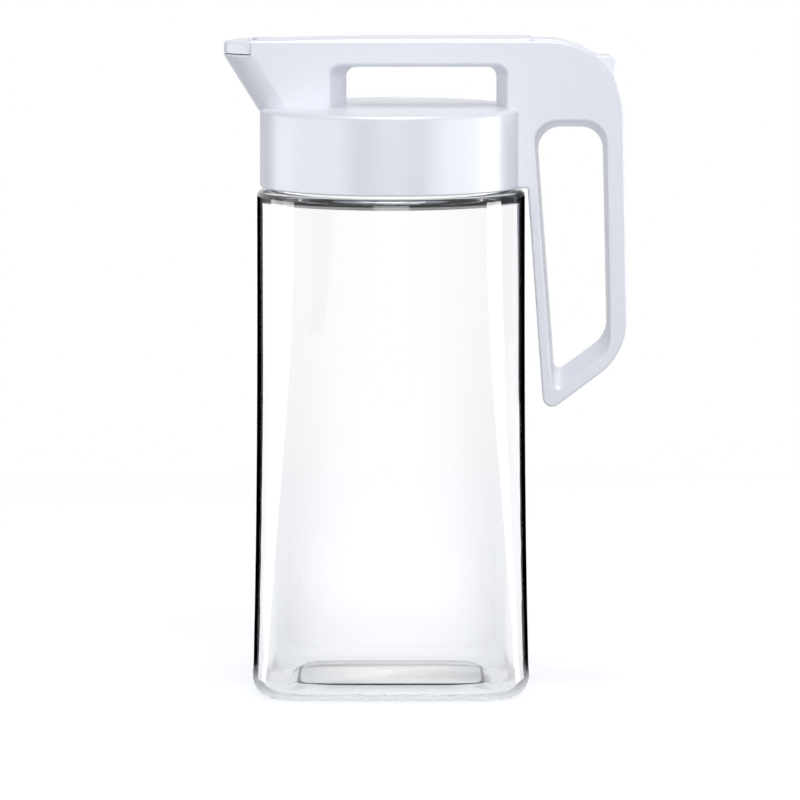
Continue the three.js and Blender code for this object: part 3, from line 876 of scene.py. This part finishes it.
    def mark_rim(self, piece: Workpiece) -> None:
        """Mark the wall between foot and shoulder for the resin's dark outline.

        Args:
            piece: The spun jug, with its thread.
        """
        rim = piece.bm.verts.layers.float.new(CLEAR.rim_mark)
        low, high = (share * self.foot_radius for share in self.rim_fade)
        for vert in piece.bm.verts:
            if vert.co.z < self.shoulder_z - self.shoulder_radius:
                vert[rim] = max(0.0, min(1.0, (vert.co.z - low) / (high - low)))

    def mark_painted_shade(self, piece: Workpiece) -> None:
        """Mark painted shade for the resin's colour: greyer towards the square's corners and over the
        base's panel.

        Args:
            piece: The swollen jug.
        """
        # Painted shade: greyer towards the corners, and over the base's panel greyer towards its edge.
        corner = piece.bm.verts.layers.float.new(CLEAR.painted_shade_mark)
        panel = self.foot_half - self.foot_radius - self.foot_ring - self.push_up_slope
        for vert in piece.bm.verts:
            towards = (abs(vert.co.x * vert.co.y) / self.foot_half ** 2) ** self.corner_spread
            vert[corner] = self.corner_painted_shade * towards
            across = max(abs(vert.co.x), abs(vert.co.y))
            if across < panel + self.push_up_slope / 2 and vert.co.z < self.foot_radius:
                vert[corner] = self.panel_painted_shade * across / panel

    def build(self) -> None:
        """Make the jug and dress it."""
        wall = Workpiece.revolved(self.profile()).combine(Join.ADD, self.thread())
        self.mark_rim(wall)
        self.swell(wall)
        self.mark_painted_shade(wall)
        wall.to_piece("clear_jug", CLEAR, "jug", "jug_body")


@dataclass(frozen=True)
class LeverFit:
    """Places and sizes that the lid, its lever and the seals share."""

    end: float = 61.0
    flap_length: float = 11.5
    mouth_front: float = -69.1
    pin_x: float = 66.0
    pin_z: float = 273.0
    pin_hole: float = 1.8


@dataclass(frozen=True)
class Mouth:
    """Plan of the spout's mouth: round towards the lip and square behind."""

    length: float = 22.0
    half: float = 10.0
    corner: float = 2.5

    def outline(self, front: float, inset: float) -> list[Vector]:
        """Draw the mouth.

        Args:
            front: X of the mouth's foremost point.
            inset: Distance that the outline is drawn in all round.

        Returns:
            Two-dimensional points in order.
        """
        half = self.half - inset
        back = front + self.length - inset
        square = rounded([(back - half, -half, 0), (back, -half, self.corner), (back, half, self.corner),
                          (back - half, half, 0)])
        return arc(front + inset + half, 0, half, 90, 270, NOSE_STEPS) + square[1:-1]


LEVER_FIT = LeverFit()
MOUTH = Mouth()


@dataclass
class LidShell:
    """White lid in one moulding: skirt, deck, spout, bridge and loop handle."""

    skirt_foot: float = 216.0
    deck_top: float = 250.0
    deck: float = 2.6
    wall: float = 2.4
    rim_radius: float = 2.0
    skirt_edge: float = 0.8
    half: float = 14.0
    edge: float = 0.9
    edge_steps: int = 5
    rim_lift: float = 0.4
    bridge_under: float = 267.0
    channel_floor: float = 270.0
    channel_half: float = 12.0
    channel_over: float = 3.0
    lip_z: float = 273.0
    lip_edge: float = 0.8
    spout_foot: float = -56.8
    spout_wall: float = 2.4
    mouth_wall: float = 3.0
    seat_lap: float = 0.2
    finger_front: float = -19.1
    finger_back: float = 45.1
    finger_flare: tuple[float, float, float] = (7.3, 4.7, 1.6)  # front, back and top
    finger_corner: float = 4.0
    finger_foot_corner: float = 0.6
    handle_top_x: float = 98.6
    handle_lean: float = 2.7
    back_radius: float = 33.0
    heel_z: float = 145.2
    heel_radius: float = 30.0
    tip: tuple[float, float] = (65.6, 118.5)  # X and Z
    tip_radius: float = 4.0
    leg_top: tuple[float, float] = (58.6, 216.0)  # X and Z
    leg_thick: float = 5.6
    grip_thick: float = 8.8
    strut_thick: float = 10.8
    loop_top: float = 241.4
    loop_flare: tuple[float, float, float] = (1.3, 3.1, 5.5)  # sides, top and foot
    loop_rounds: tuple[float, float, float] = (2.5, 12.0, 9.5)  # at the tip, the heel and the top
    opening_round: float = 1.3
    ridge_round: float = 1.6
    flare_steps: int = 8
    flare_crowding: float = 1.5
    lever_gap: float = 1.4
    end_corner: float = 3.4
    thumb_slot_half: float = 8.4
    thumb_slot_lap: float = 4.0
    thumb_slot_drop: float = 5.2
    tab_foot: float = 261.8
    tab_back: tuple[float, float] = (2.5, 6.5)  # in from the tab's end and down from its foot
    tab_outside: float = 9.0
    pin_near: float = -12.3
    spring_x: float = 77.5
    spring_room: float = 5.0
    spring_pocket: tuple[float, float, float] = (4.0, 253.9, 270.5)  # radius, foot and top
    radius: float = field(init=False)
    top: float = field(init=False)
    reach: float = field(init=False)

    def __post_init__(self) -> None:
        """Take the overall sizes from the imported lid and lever."""
        _, high = packed("lid_shell")
        self.radius = high.y
        self.top = high.z + self.rim_lift
        self.reach = packed("pour_lever")[0].x

    def ceiling(self) -> list[Vector]:
        """Draw the inner corner under the rim and the deck's underside in to the axis.

        Returns:
            Points of radius and height.
        """
        bore = self.radius - self.wall
        under = self.deck_top - self.deck
        corner = arc(bore - self.wall, under - self.wall, self.wall, 0, 90, self.edge_steps)
        return [*corner, Vector((0, under))]

    def cup(self) -> Workpiece:
        """Make the skirt with its rounded rim and the flat deck.

        Returns:
            The closed body.
        """
        bore = self.radius - self.wall
        edge, steps = self.skirt_edge, self.edge_steps
        return Workpiece.revolved([
            Vector((0, self.deck_top)),
            *arc(self.radius - self.rim_radius, self.deck_top - self.rim_radius, self.rim_radius, 90, 0),
            *arc(self.radius - edge, self.skirt_foot + edge, edge, 0, -90, steps),
            *arc(bore + edge, self.skirt_foot + edge, edge, 270, 180, steps),
            *self.ceiling(),
        ])

    def bridge_and_handle(self) -> Workpiece:
        """Make the bridge and the handle as one rounded plate, still without openings.

        Returns:
            The closed body.
        """
        inside = self.radius - 3 * self.wall
        in_deck = self.deck_top - 2 * self.deck
        flap_back = self.reach + LEVER_FIT.flap_length
        outline = rounded([
            (flap_back - PAST, self.top, 0),
            (self.handle_top_x, self.top, self.back_radius),
            (self.handle_top_x + self.handle_lean, self.heel_z, self.heel_radius),
            (*self.tip, self.tip_radius),
            (*self.leg_top, self.edge),
            (inside, self.skirt_foot, 0),
            (inside, in_deck, 0),
            (self.spout_foot + self.half + self.edge, in_deck, 0),
            (self.reach + self.half + self.edge, self.lip_z - 2 * self.edge, 0),
            (flap_back - PAST, self.lip_z - self.edge, 0),
        ], 2 * ARC_STEPS)
        return Workpiece.thickened(outline, -self.half, self.half, Plane.SIDE, (self.edge, self.edge))

    def spout(self) -> Workpiece:
        """Make the round nose that leans out from the rim up to the lip.

        Returns:
            The closed body.
        """
        back = self.finger_front - self.finger_flare[0] - self.finger_corner
        low = self.deck_top - self.deck / 2
        soft = self.lip_edge
        lip = arc(0, 0, soft, 0, 90, self.edge_steps)
        stations = [(self.spout_foot, low, 0.0)]
        stations += [(self.reach, self.lip_z - soft + p.y, soft - p.x) for p in lip]
        return Workpiece.lofted([
            [p.to_3d() + Vector((0, 0, z)) for p in nose(front + inset, back, self.half - inset)]
            for front, z, inset in stations])

    def flared(self, corners: Callable[[float, float], list[Corner]]) -> Workpiece:
        """Make the cutter for an opening that flares from the middle plane and rounds over at both faces.

        Args:
            corners: Gives the outline's corners for a share of the flare and a further growth.

        Returns:
            The cutter.
        """
        soft, ridge, steps = self.opening_round, self.ridge_round, self.flare_steps
        deep = self.half - soft
        most = math.hypot(self.half, ridge) - ridge
        depths = (deep * (i / steps) ** self.flare_crowding for i in range(steps + 1))
        stations = [(y, (math.hypot(y, ridge) - ridge) / most, 0.0) for y in depths]
        stations += [(deep + p.y, 1.0 - soft * (1 - p.y / soft) / self.half, soft - p.x)
                     for p in arc(0, 0, soft, 0, 90, steps)[1:]]
        stations.append((self.half + PAST, 1.0, soft))
        row = [(-y, share, grow) for y, share, grow in reversed(stations[1:])] + stations
        return Workpiece.lofted([
            [Vector((p.x, y, p.y)) for p in rounded(corners(share, grow))] for y, share, grow in row])

    def finger_corners(self, share: float, grow: float) -> list[Corner]:
        """Place the corners of the finger gap at one depth of the bridge.

        Args:
            share: Share of the full flare.
            grow: Further growth where the edge rounds over.

        Returns:
            Each corner's X, Z and radius.
        """
        front = self.finger_front - share * self.finger_flare[0] - grow
        back = self.finger_back + share * self.finger_flare[1] + grow
        under = self.bridge_under + share * self.finger_flare[2] + grow
        foot, bend = self.finger_foot_corner, self.finger_corner + share + grow
        return [(front, self.deck_top, foot), (back, self.deck_top, foot),
                (back, under, bend), (front, under, bend)]

    def loop_corners(self, share: float, grow: float) -> list[Corner]:
        """Place the corners of the handle's loop at one depth, drawn in by its leg, grip and strut.

        Args:
            share: Share of the full flare.
            grow: Further growth where the edge rounds over.

        Returns:
            Each corner's X, Z and radius.
        """
        heel = Vector((self.handle_top_x + self.handle_lean, self.heel_z))
        strut = heel - Vector(self.tip)
        rise = strut.y / strut.x
        side, top, foot = (flare * share + grow for flare in self.loop_flare)
        top_z = self.loop_top + top
        lift = (self.strut_thick - foot) * strut.length / strut.x
        grip_top = on_line((self.handle_top_x, self.top), heel, top_z) - self.grip_thick + side
        heel_x = heel.x - self.grip_thick + side
        tip_x = on_line(self.leg_top, self.tip, self.tip[1] + lift) + self.leg_thick - side
        leg_top = on_line(self.leg_top, self.tip, top_z) + self.leg_thick - side
        tip_z, heel_z = (self.tip[1] + lift + (x - self.tip[0]) * rise for x in (tip_x, heel_x))
        small, wide, upper = (radius + grow for radius in self.loop_rounds)
        return [(tip_x, tip_z, small), (heel_x, heel_z, wide),
                (grip_top, top_z, upper), (leg_top, top_z, upper)]

    def room(self) -> Workpiece:
        """Make the cutter that clears the space inside the skirt.

        Returns:
            The cutter.
        """
        foot = self.skirt_foot - PAST
        return Workpiece.revolved([
            Vector((0, foot)), Vector((self.radius - self.wall, foot)), *self.ceiling()])

    def duct(self) -> Workpiece:
        """Make the cutter for the slanted duct from under the deck to the mouth.

        Returns:
            The cutter.
        """
        under = self.deck_top - self.deck
        front, foot = self.reach + self.spout_wall, self.spout_foot + 2 * self.spout_wall
        lean = (foot - front) / (self.lip_z - under)
        stations = ((foot + lean * PAST, under - PAST), (front, self.lip_z), (front, self.top + PAST))
        return Workpiece.lofted([
            [p.to_3d() + Vector((0, 0, z)) for p in MOUTH.outline(x, 0)] for x, z in stations])

    def channel(self) -> list[Workpiece]:
        """Make the cutters for the lever's channel, the flap's seat and the space over the mouth.

        Returns:
            The cutters.
        """
        over = self.top + self.channel_over
        back = self.reach + self.spout_wall + MOUTH.length + self.mouth_wall
        end = LEVER_FIT.end + self.lever_gap
        half = self.channel_half
        flap_back = self.reach + LEVER_FIT.flap_length
        outline = rounded([
            (back, -half, 0), (end, -half, self.end_corner), (end, half, self.end_corner), (back, half, 0)])
        wide, seat_back = self.half + PAST, flap_back + self.seat_lap
        return [
            Workpiece.thickened(outline, self.channel_floor, over, Plane.PLAN),
            Workpiece.block((self.reach - PAST, -wide, self.lip_z), (seat_back, wide, over)),
            Workpiece.block((flap_back, -half, self.lip_z), (back + PAST, half, over)),
        ]

    def thumb_room(self) -> list[Workpiece]:
        """Make the cutters for the thumb tab's slot, the spring's pocket and the pin's hole.

        Returns:
            The cutters.
        """
        _, high = packed("pour_lever")
        pin_x, pin_z = LEVER_FIT.pin_x, LEVER_FIT.pin_z
        start = LEVER_FIT.end - self.thumb_slot_lap
        outside = self.handle_top_x + self.handle_lean + PAST
        over = high.z + PAST
        inward, down = self.tab_back
        outline = [Vector(p) for p in (
            (start, over), (start, pin_z - self.thumb_slot_drop),
            (self.spring_x + self.spring_room, self.tab_foot - PAST),
            (high.x - inward, self.tab_foot - down),
            (outside, self.tab_foot - self.tab_outside), (outside, over))]
        radius, foot, top = self.spring_pocket
        return [
            Workpiece.thickened(outline, -self.thumb_slot_half, self.thumb_slot_half, Plane.SIDE),
            Workpiece.bar(radius, (self.spring_x, 0, foot), (self.spring_x, 0, top)),
            Workpiece.bar(LEVER_FIT.pin_hole, (pin_x, self.pin_near, pin_z),
                          (pin_x, self.half + PAST, pin_z)),
        ]

    def build(self) -> None:
        """Make the lid and dress it."""
        shell = self.cup().combine(Join.ADD, self.bridge_and_handle(), self.spout())
        openings = (self.flared(corners) for corners in (self.finger_corners, self.loop_corners))
        shell.combine(Join.CUT, self.room(), *openings, *self.channel(), *self.thumb_room(), self.duct())
        shell.to_piece("white_lid", WHITE, "lid", "lid_shell")


@dataclass
class PourLever:
    """White see-saw lever: the spout's flap, the arm along the bridge and the thumb tab."""

    half: float = 11.6
    under: float = 274.2
    edge: float = 1.7
    flap_edge: float = 1.2
    under_edge: float = 0.3
    thumb_edge: float = 0.9
    end_corner: float = 3.0
    hollow: tuple[float, float, float] = (-43.7, 56.4, 10.0)  # front, back and half width
    ceiling: float = 277.8
    flap_half: float = 14.0
    flap_under: float = 273.3
    flap_skirt: float = 1.4
    droop: float = 1.8
    droop_from: float = 30.0
    droop_power: float = 2.5
    droop_rows: int = 14
    boss: tuple[float, float, float] = (2.4, 275.6, 278.0)  # inset from the mouth, foot and top
    thumb_half: float = 8.0
    thumb_lap: float = 3.0
    thumb_drop: float = 0.6
    thumb_under: float = 2.5
    crown: tuple[float, float] = (75.5, 34.5)  # X and radius of the bend over the handle
    dip: tuple[float, float] = (88.0, 6.0)  # X and radius of the bend out to the tab
    tab_top: float = 272.2
    tab_round: float = 3.6
    tab_foot_round: float = 1.3
    tab_lean: tuple[float, float, float] = (0.4, -0.6, -4.6)  # top, outer foot and inner foot, from its end
    tab_root: float = 82.5
    pin_lug: float = 4.2
    reach: float = field(init=False)
    top: float = field(init=False)
    tab_end: float = field(init=False)
    tab_foot: float = field(init=False)

    def __post_init__(self) -> None:
        """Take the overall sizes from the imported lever."""
        low, high = packed("pour_lever")
        self.reach, self.top = low.x, high.z
        self.tab_end, self.tab_foot = high.x, low.z

    def arm_and_flap(self) -> Workpiece:
        """Make the arm and the round-nosed flap, hollow underneath and drooping towards the spout.

        Returns:
            The closed body.
        """
        flap_back = self.reach + LEVER_FIT.flap_length
        inside, end = self.reach + self.flap_half, LEVER_FIT.end
        arm = Workpiece.thickened(rounded([
            (inside, -self.half, 0), (end, -self.half, self.end_corner),
            (end, self.half, self.end_corner), (inside, self.half, 0)]),
            self.under, self.top, Plane.PLAN, (self.under_edge, self.edge))
        flap = Workpiece.thickened(nose(self.reach, flap_back, self.flap_half), self.flap_under, self.top,
                                   Plane.PLAN, (self.under_edge, self.flap_edge))
        front, back, half = self.hollow
        skirt = self.flap_skirt
        under_flap = nose(self.reach + skirt, flap_back - skirt, self.flap_half - skirt)
        arm.combine(Join.ADD, flap)
        arm.combine(
            Join.CUT, Workpiece.block((front, -half, self.under - PAST), (back, half, self.ceiling)),
            Workpiece.thickened(under_flap, self.flap_under - PAST, self.ceiling, Plane.PLAN))
        self.bend(arm)
        inset, low, high = self.boss
        boss = Workpiece.thickened(MOUTH.outline(LEVER_FIT.mouth_front, inset), low, high, Plane.PLAN)
        return arm.combine(Join.ADD, boss)

    def bend(self, piece: Workpiece) -> None:
        """Cut the top into rows and let it droop gently towards the spout.

        Args:
            piece: The arm with its flap.
        """
        span = self.droop_from - self.reach
        for row in range(self.droop_rows):
            place = (self.droop_from - span * row / self.droop_rows, 0, 0)
            everything = piece.bm.verts[:] + piece.bm.edges[:] + piece.bm.faces[:]
            bmesh.ops.bisect_plane(piece.bm, geom=everything, plane_co=place, plane_no=(1, 0, 0))
        for vert in piece.bm.verts:
            if vert.co.z > self.ceiling + WELD and vert.co.x < self.droop_from:
                vert.co.z -= self.droop * ((self.droop_from - vert.co.x) / span) ** self.droop_power

    def thumb(self) -> Workpiece:
        """Make the plate that curves down over the handle and ends in the thumb tab.

        Returns:
            The closed body.
        """
        top = self.top - self.thumb_drop
        under = LEVER_FIT.pin_z - self.thumb_under
        lug_back, lug_foot = LEVER_FIT.pin_x + self.pin_lug, LEVER_FIT.pin_z - self.pin_lug
        start = LEVER_FIT.end - self.thumb_lap
        tab_back, outer, inner = (self.tab_end + lean for lean in self.tab_lean)
        bend = self.tab_foot_round
        outline = rounded([
            (start, top, 0), (self.crown[0], top, self.crown[1]), (self.dip[0], self.tab_top, self.dip[1]),
            (tab_back, self.tab_top, self.tab_round),
            (outer, self.tab_foot, bend), (inner, self.tab_foot, bend), (self.tab_root, under, bend),
            (lug_back, under, 0), (lug_back, lug_foot, bend), (start, lug_foot, 0)])
        return Workpiece.thickened(outline, -self.thumb_half, self.thumb_half, Plane.SIDE,
                                   (self.thumb_edge, self.thumb_edge))

    def build(self) -> None:
        """Make the lever and dress it."""
        pin_x, pin_z = LEVER_FIT.pin_x, LEVER_FIT.pin_z
        hole = Workpiece.bar(LEVER_FIT.pin_hole, (pin_x, -self.half, pin_z), (pin_x, self.half, pin_z))
        lever = self.arm_and_flap().combine(Join.ADD, self.thumb()).combine(Join.CUT, hole)
        lever.to_piece("white_lever", WHITE, "lever", "pour_lever")


@dataclass
class LidLiner:
    """White plate snapped up under the deck, with a skirt inside the neck and narrow pour slots."""

    under: float = 241.0
    plate: float = 2.4
    rim_step: float = 3.0
    skirt: tuple[float, float] = (46.2, 48.2)  # inner and outer radius
    edge: float = 0.6
    edge_steps: int = 4
    slots: int = 5
    slot_front: float = -44.2
    slot_back: float = -30.2
    slot_half: float = 1.2
    slot_pitch: float = 4.4
    slot_steps: int = 6
    radius: float = field(init=False)
    foot: float = field(init=False)
    rim_top: float = field(init=False)

    def __post_init__(self) -> None:
        """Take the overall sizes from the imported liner."""
        low, high = packed("lid_liner")
        self.radius, self.rim_top, self.foot = high.y, high.z, low.z

    def build(self) -> None:
        """Make the liner and dress it."""
        under, top = self.under, self.under + self.plate
        inner, outer = self.skirt
        step, edge = self.radius - self.rim_step, self.edge
        section = rounded([
            (step, top, edge), (step, self.rim_top, edge), (self.radius, self.rim_top, edge),
            (self.radius, under, edge), (outer, under, edge), (outer, self.foot, edge),
            (inner, self.foot, edge), (inner, under, edge)], self.edge_steps)
        plate = Workpiece.revolved([Vector((0, top)), *section, Vector((0, under))])
        bend = self.slot_half - WELD
        for slot in range(self.slots):
            y = (slot - (self.slots - 1) / 2) * self.slot_pitch
            near, far = y - self.slot_half, y + self.slot_half
            outline = rounded([
                (self.slot_front, near, bend), (self.slot_back, near, bend),
                (self.slot_back, far, bend), (self.slot_front, far, bend)], self.slot_steps)
            plate.combine(Join.CUT, Workpiece.thickened(outline, under - PAST, top + PAST, Plane.PLAN))
        plate.to_piece("slotted_liner", WHITE, "lid", "lid_liner")


@dataclass
class Seals:
    """Silicone pieces: the ring on the neck, the ring over the liner and the pad under the flap."""

    ring_edge: float = 0.55
    ring_steps: int = 5
    plug_inset: float = 1.1
    plug_top: float = 274.3
    pad_inset: float = -0.6
    pad_under: float = 273.3
    pad_edge: float = 0.35
    pad_steps: int = 3

    def ring(self, name: str, body: str, node: str) -> None:
        """Make a ring in the place of a packed one.

        Args:
            name: Name of the piece.
            body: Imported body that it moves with.
            node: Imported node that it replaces.
        """
        low, high = packed(node)
        inner, outer = ring_radii(node)[0], high.y
        edge = self.ring_edge
        section = rounded([(inner, low.z, edge), (outer, low.z, edge), (outer, high.z, edge),
                           (inner, high.z, edge)], self.ring_steps)
        Workpiece.revolved(section).to_piece(name, RUBBER, body, node)

    def slab(self, inset: float, low: float, high: float) -> Workpiece:
        """Make a soft-edged slab of the mouth's outline.

        Args:
            inset: Distance that it is drawn in from the mouth.
            low: Height of its underside.
            high: Height of its top.

        Returns:
            The closed body.
        """
        outline = MOUTH.outline(LEVER_FIT.mouth_front, inset)
        edges = (self.pad_edge, self.pad_edge)
        return Workpiece.thickened(outline, low, high, Plane.PLAN, edges, self.pad_steps)

    def build(self) -> None:
        """Make the seals and dress them."""
        self.ring("neck_gasket", "gasket", "lid_gasket")
        self.ring("liner_ring", "lid", "liner_seal")
        low, high = packed("flap_seal")
        pad = self.slab(self.pad_inset, self.pad_under, high.z)
        plug = self.slab(self.plug_inset, low.z, self.plug_top)
        pad.combine(Join.ADD, plug).to_piece("flap_pad", RUBBER, "lever", "flap_seal")


@dataclass
class Mechanism:
    """Steel pin that the lever turns on and the coil spring under its thumb tab."""

    pin_edge: float = 0.3
    pin_sides: int = 32
    wire: float = 0.8
    closed_pitch: float = 1.06  # in wires
    end_turns: float = 1.0
    turns: float = 6.0
    wire_sides: int = 14
    steps: int = 40
    pressed_share: float = 0.87

    def pin(self) -> None:
        """Make the pin with its chamfered ends."""
        low, high = packed("lever_pin")
        middle = (low + high) / 2
        radius = (high.x - low.x) / 2
        circle = arc(0, 0, radius, 0, 360, self.pin_sides)[:-1]
        outline = [p + Vector((middle.x, middle.z)) for p in circle]
        edges = (self.pin_edge, self.pin_edge)
        rod = Workpiece.thickened(outline, low.y, high.y, Plane.SIDE, edges, segments=1)
        rod.to_piece("steel_pin", STEEL, "lid", "lever_pin")

    def spring(self) -> None:
        """Wind the spring with a closed turn at each end."""
        low, high = packed("lever_spring")
        middle = (low + high) / 2
        thick = self.wire / 2
        circle = arc(high.y - thick, 0, thick, 0, 360, self.wire_sides)[:-1]
        section = [p + Vector((0, low.z + thick)) for p in circle]
        closed = self.wire * self.closed_pitch
        open_turns = self.turns - 2 * self.end_turns
        climb = high.z - low.z - self.wire - 2 * self.end_turns * closed
        end = (self.end_turns, closed)
        coil = Workpiece.helix(section, [end, (open_turns, climb / open_turns), end], self.steps)
        piece = coil.shifted(middle.x, 0, 0).to_piece("steel_spring", STEEL, "lid", "lever_spring")
        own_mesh(piece)

    def build(self) -> None:
        """Make the pin and the spring and dress them."""
        self.pin()
        self.spring()


def white_pieces() -> bpy.types.Collection:
    """Collect the lid and the lever for the lamps that are kept off the jug.

    Returns:
        The collection, made at its first use.
    """
    made = bpy.data.collections.get("white_pieces")
    if made is None:
        made = bpy.data.collections.new("white_pieces")
        for name in ("white_lid", "white_lever"):
            made.objects.link(bpy.data.objects[name])
    return made


@dataclass(frozen=True)
class Lamp:
    """Soft rectangular lamp that faces the pitcher and isn't seen itself."""

    name: str
    place: tuple[float, float, float]
    size: tuple[float, float]
    watts: float
    glow: Glow = Glow.FULL
    aim_z: float = 0.15

    def hang(self) -> None:
        """Add the lamp to the scene."""
        data = bpy.data.lights.new(self.name, "AREA")
        data.shape = "RECTANGLE"
        data.size, data.size_y = self.size
        data.energy = self.watts
        lamp = bpy.data.objects.new(self.name, data)
        lamp.location = self.place
        towards = Vector((0, 0, self.aim_z)) - Vector(self.place)
        lamp.rotation_euler = towards.to_track_quat("-Z", "Y").to_euler()
        lamp.visible_camera = False
        lamp.visible_transmission = False
        lamp.visible_diffuse = self.glow in (Glow.FULL, Glow.MATT)
        lamp.visible_glossy = self.glow is not Glow.MATT
        if self.glow is Glow.LID_MIRROR:
            lamp.light_linking.receiver_collection = white_pieces()
        bpy.context.scene.collection.objects.link(lamp)


@dataclass
class Studio:
    """Plain pale floor, soft lamps and the camera, in metres, with lens and aim in millimetres."""

    distance: float = 4.0
    elevation: float = 6.2
    lens: float = 418.9
    sensor: float = 36.0
    far_clip: float = 30.0
    aim: tuple[float, float] = (3.87, 123.57)  # X from the jug's axis, and Z
    fill: float = 0.36
    fill_colour: str = "#E1E7FA"
    surround: float = 1.0
    surround_colour: str = "#FFFFFF"
    floor_radius: float = 0.8
    floor_sides: int = 96
    floor_colour: str = "#CACACA"
    floor_glow: float = 0.615
    lamps: tuple[Lamp, ...] = (
        Lamp("key_right", (1.9, 0.27, 0.3), (0.5, 1.3), 11, Glow.MATT),
        Lamp("right_edge", (1.9, 0.35, 0.05), (0.7, 0.6), 11, Glow.MIRROR),
        Lamp("right_mirror", (1.9, -0.75, 0.1), (2.7, 0.6), 23, Glow.LID_MIRROR),
        Lamp("front", (0.0, -2.6, 0.4), (1.4, 0.8), 15.5),
        Lamp("front_top", (0.3, -1.6, 2.1), (1.2, 1.0), 18),
        Lamp("overhead", (0.0, -0.3, 2.0), (0.5, 0.5), 7),
        Lamp("left", (-1.9, 0.27, 0.5), (0.5, 1.5), 4.0),
        Lamp("left_edge", (-1.6, 0.5, 0.1), (1.0, 0.5), 6.5, Glow.MIRROR),
        Lamp("left_mirror", (-1.6, -0.8, 0.1), (1.8, 0.5), 13, Glow.LID_MIRROR),
        Lamp("back", (0.0, 2.6, 0.6), (1.4, 0.8), 8, Glow.MATT),
        Lamp("top_mirror", (0.0, -0.15, 1.9), (1.0, 1.0), 36, Glow.MIRROR),
    )

    def camera(self) -> None:
        """Stand the camera at the picture's viewing angle."""
        tilt = math.radians(self.elevation)
        back = Vector((0, -math.cos(tilt), math.sin(tilt)))
        data = bpy.data.cameras.new("camera")
        data.lens = self.lens
        data.sensor_width = self.sensor
        data.clip_end = self.far_clip
        eye = bpy.data.objects.new("camera", data)
        eye.location = AXIS + Vector((self.aim[0], 0, self.aim[1])) * MM + back * self.distance
        eye.rotation_euler = (-back).to_track_quat("-Z", "Y").to_euler()
        bpy.context.scene.collection.objects.link(eye)
        bpy.context.scene.camera = eye

    def seen(self, tree: bpy.types.NodeTree) -> bpy.types.NodeSocket:
        """Tell rays that carry a picture from rays that carry light.

        Args:
            tree: Node tree that gets the test.

        Returns:
            Socket that is 1 for camera, mirror and see-through rays and 0 for the rest.
        """
        path = add_node(tree, "ShaderNodeLightPath")
        clear = add_node(tree, "ShaderNodeMath", {"operation": "MAXIMUM"}, {
            0: path.outputs["Is Camera Ray"], 1: path.outputs["Is Transmission Ray"]})
        either = add_node(tree, "ShaderNodeMath", {"operation": "MAXIMUM"}, {
            0: clear.outputs[0], 1: path.outputs["Is Glossy Ray"]})
        return either.outputs[0]

    def world(self) -> None:
        """Give the room its plain white surround and a soft, slightly cool fill."""
        world = bpy.data.worlds.new("studio")
        bpy.context.scene.world = world
        world.use_nodes = True
        tree = world.node_tree
        tree.nodes.clear()
        room = add_node(tree, "ShaderNodeBackground", inputs={
            "Color": linear(self.fill_colour), "Strength": self.fill})
        white = add_node(tree, "ShaderNodeBackground", inputs={
            "Color": linear(self.surround_colour), "Strength": self.surround})
        both = add_node(tree, "ShaderNodeMixShader", inputs={
            0: self.seen(tree), 1: room.outputs[0], 2: white.outputs[0]})
        add_node(tree, "ShaderNodeOutputWorld", inputs={"Surface": both.outputs[0]})

    def floor(self) -> None:
        """Lay the pale floor, whose own glow brings it up to the white of the surround."""
        bm = bmesh.new()
        bmesh.ops.create_circle(bm, cap_ends=True, segments=self.floor_sides, radius=self.floor_radius)
        mesh = bpy.data.meshes.new("floor")
        bm.to_mesh(mesh)
        bm.free()
        floor = bpy.data.objects.new("floor", mesh)
        bpy.context.scene.collection.objects.link(floor)
        material = bpy.data.materials.new("matt_white_paper")
        material.use_nodes = True
        tree = material.node_tree
        tree.nodes.clear()
        level = add_node(tree, "ShaderNodeMath", {"operation": "MULTIPLY"}, {
            0: self.seen(tree), 1: self.floor_glow})
        paper = add_node(tree, "ShaderNodeBsdfDiffuse", inputs={"Color": linear(self.floor_colour)})
        glow = add_node(tree, "ShaderNodeEmission", inputs={"Strength": level.outputs[0]})
        both = add_node(tree, "ShaderNodeAddShader", inputs={0: paper.outputs[0], 1: glow.outputs[0]})
        add_node(tree, "ShaderNodeOutputMaterial", inputs={"Surface": both.outputs[0]})
        mesh.materials.append(material)

    def build(self) -> None:
        """Set the floor, lamps, surround and camera."""
        bpy.context.scene.view_settings.view_transform = "Standard"
        self.camera()
        self.world()
        self.floor()
        for lamp in self.lamps:
            lamp.hang()


def main() -> None:
    """Build the pitcher's sub-assemblies and the studio, in order."""
    logging.basicConfig(level=logging.INFO, format="%(name)s %(message)s")
    for assembly in (Jug(), LidShell(), PourLever(), LidLiner(), Seals(), Mechanism(), Studio()):
        assembly.build()
        LOG.info("%s done", type(assembly).__name__)


if __name__ == "__main__":
    main()
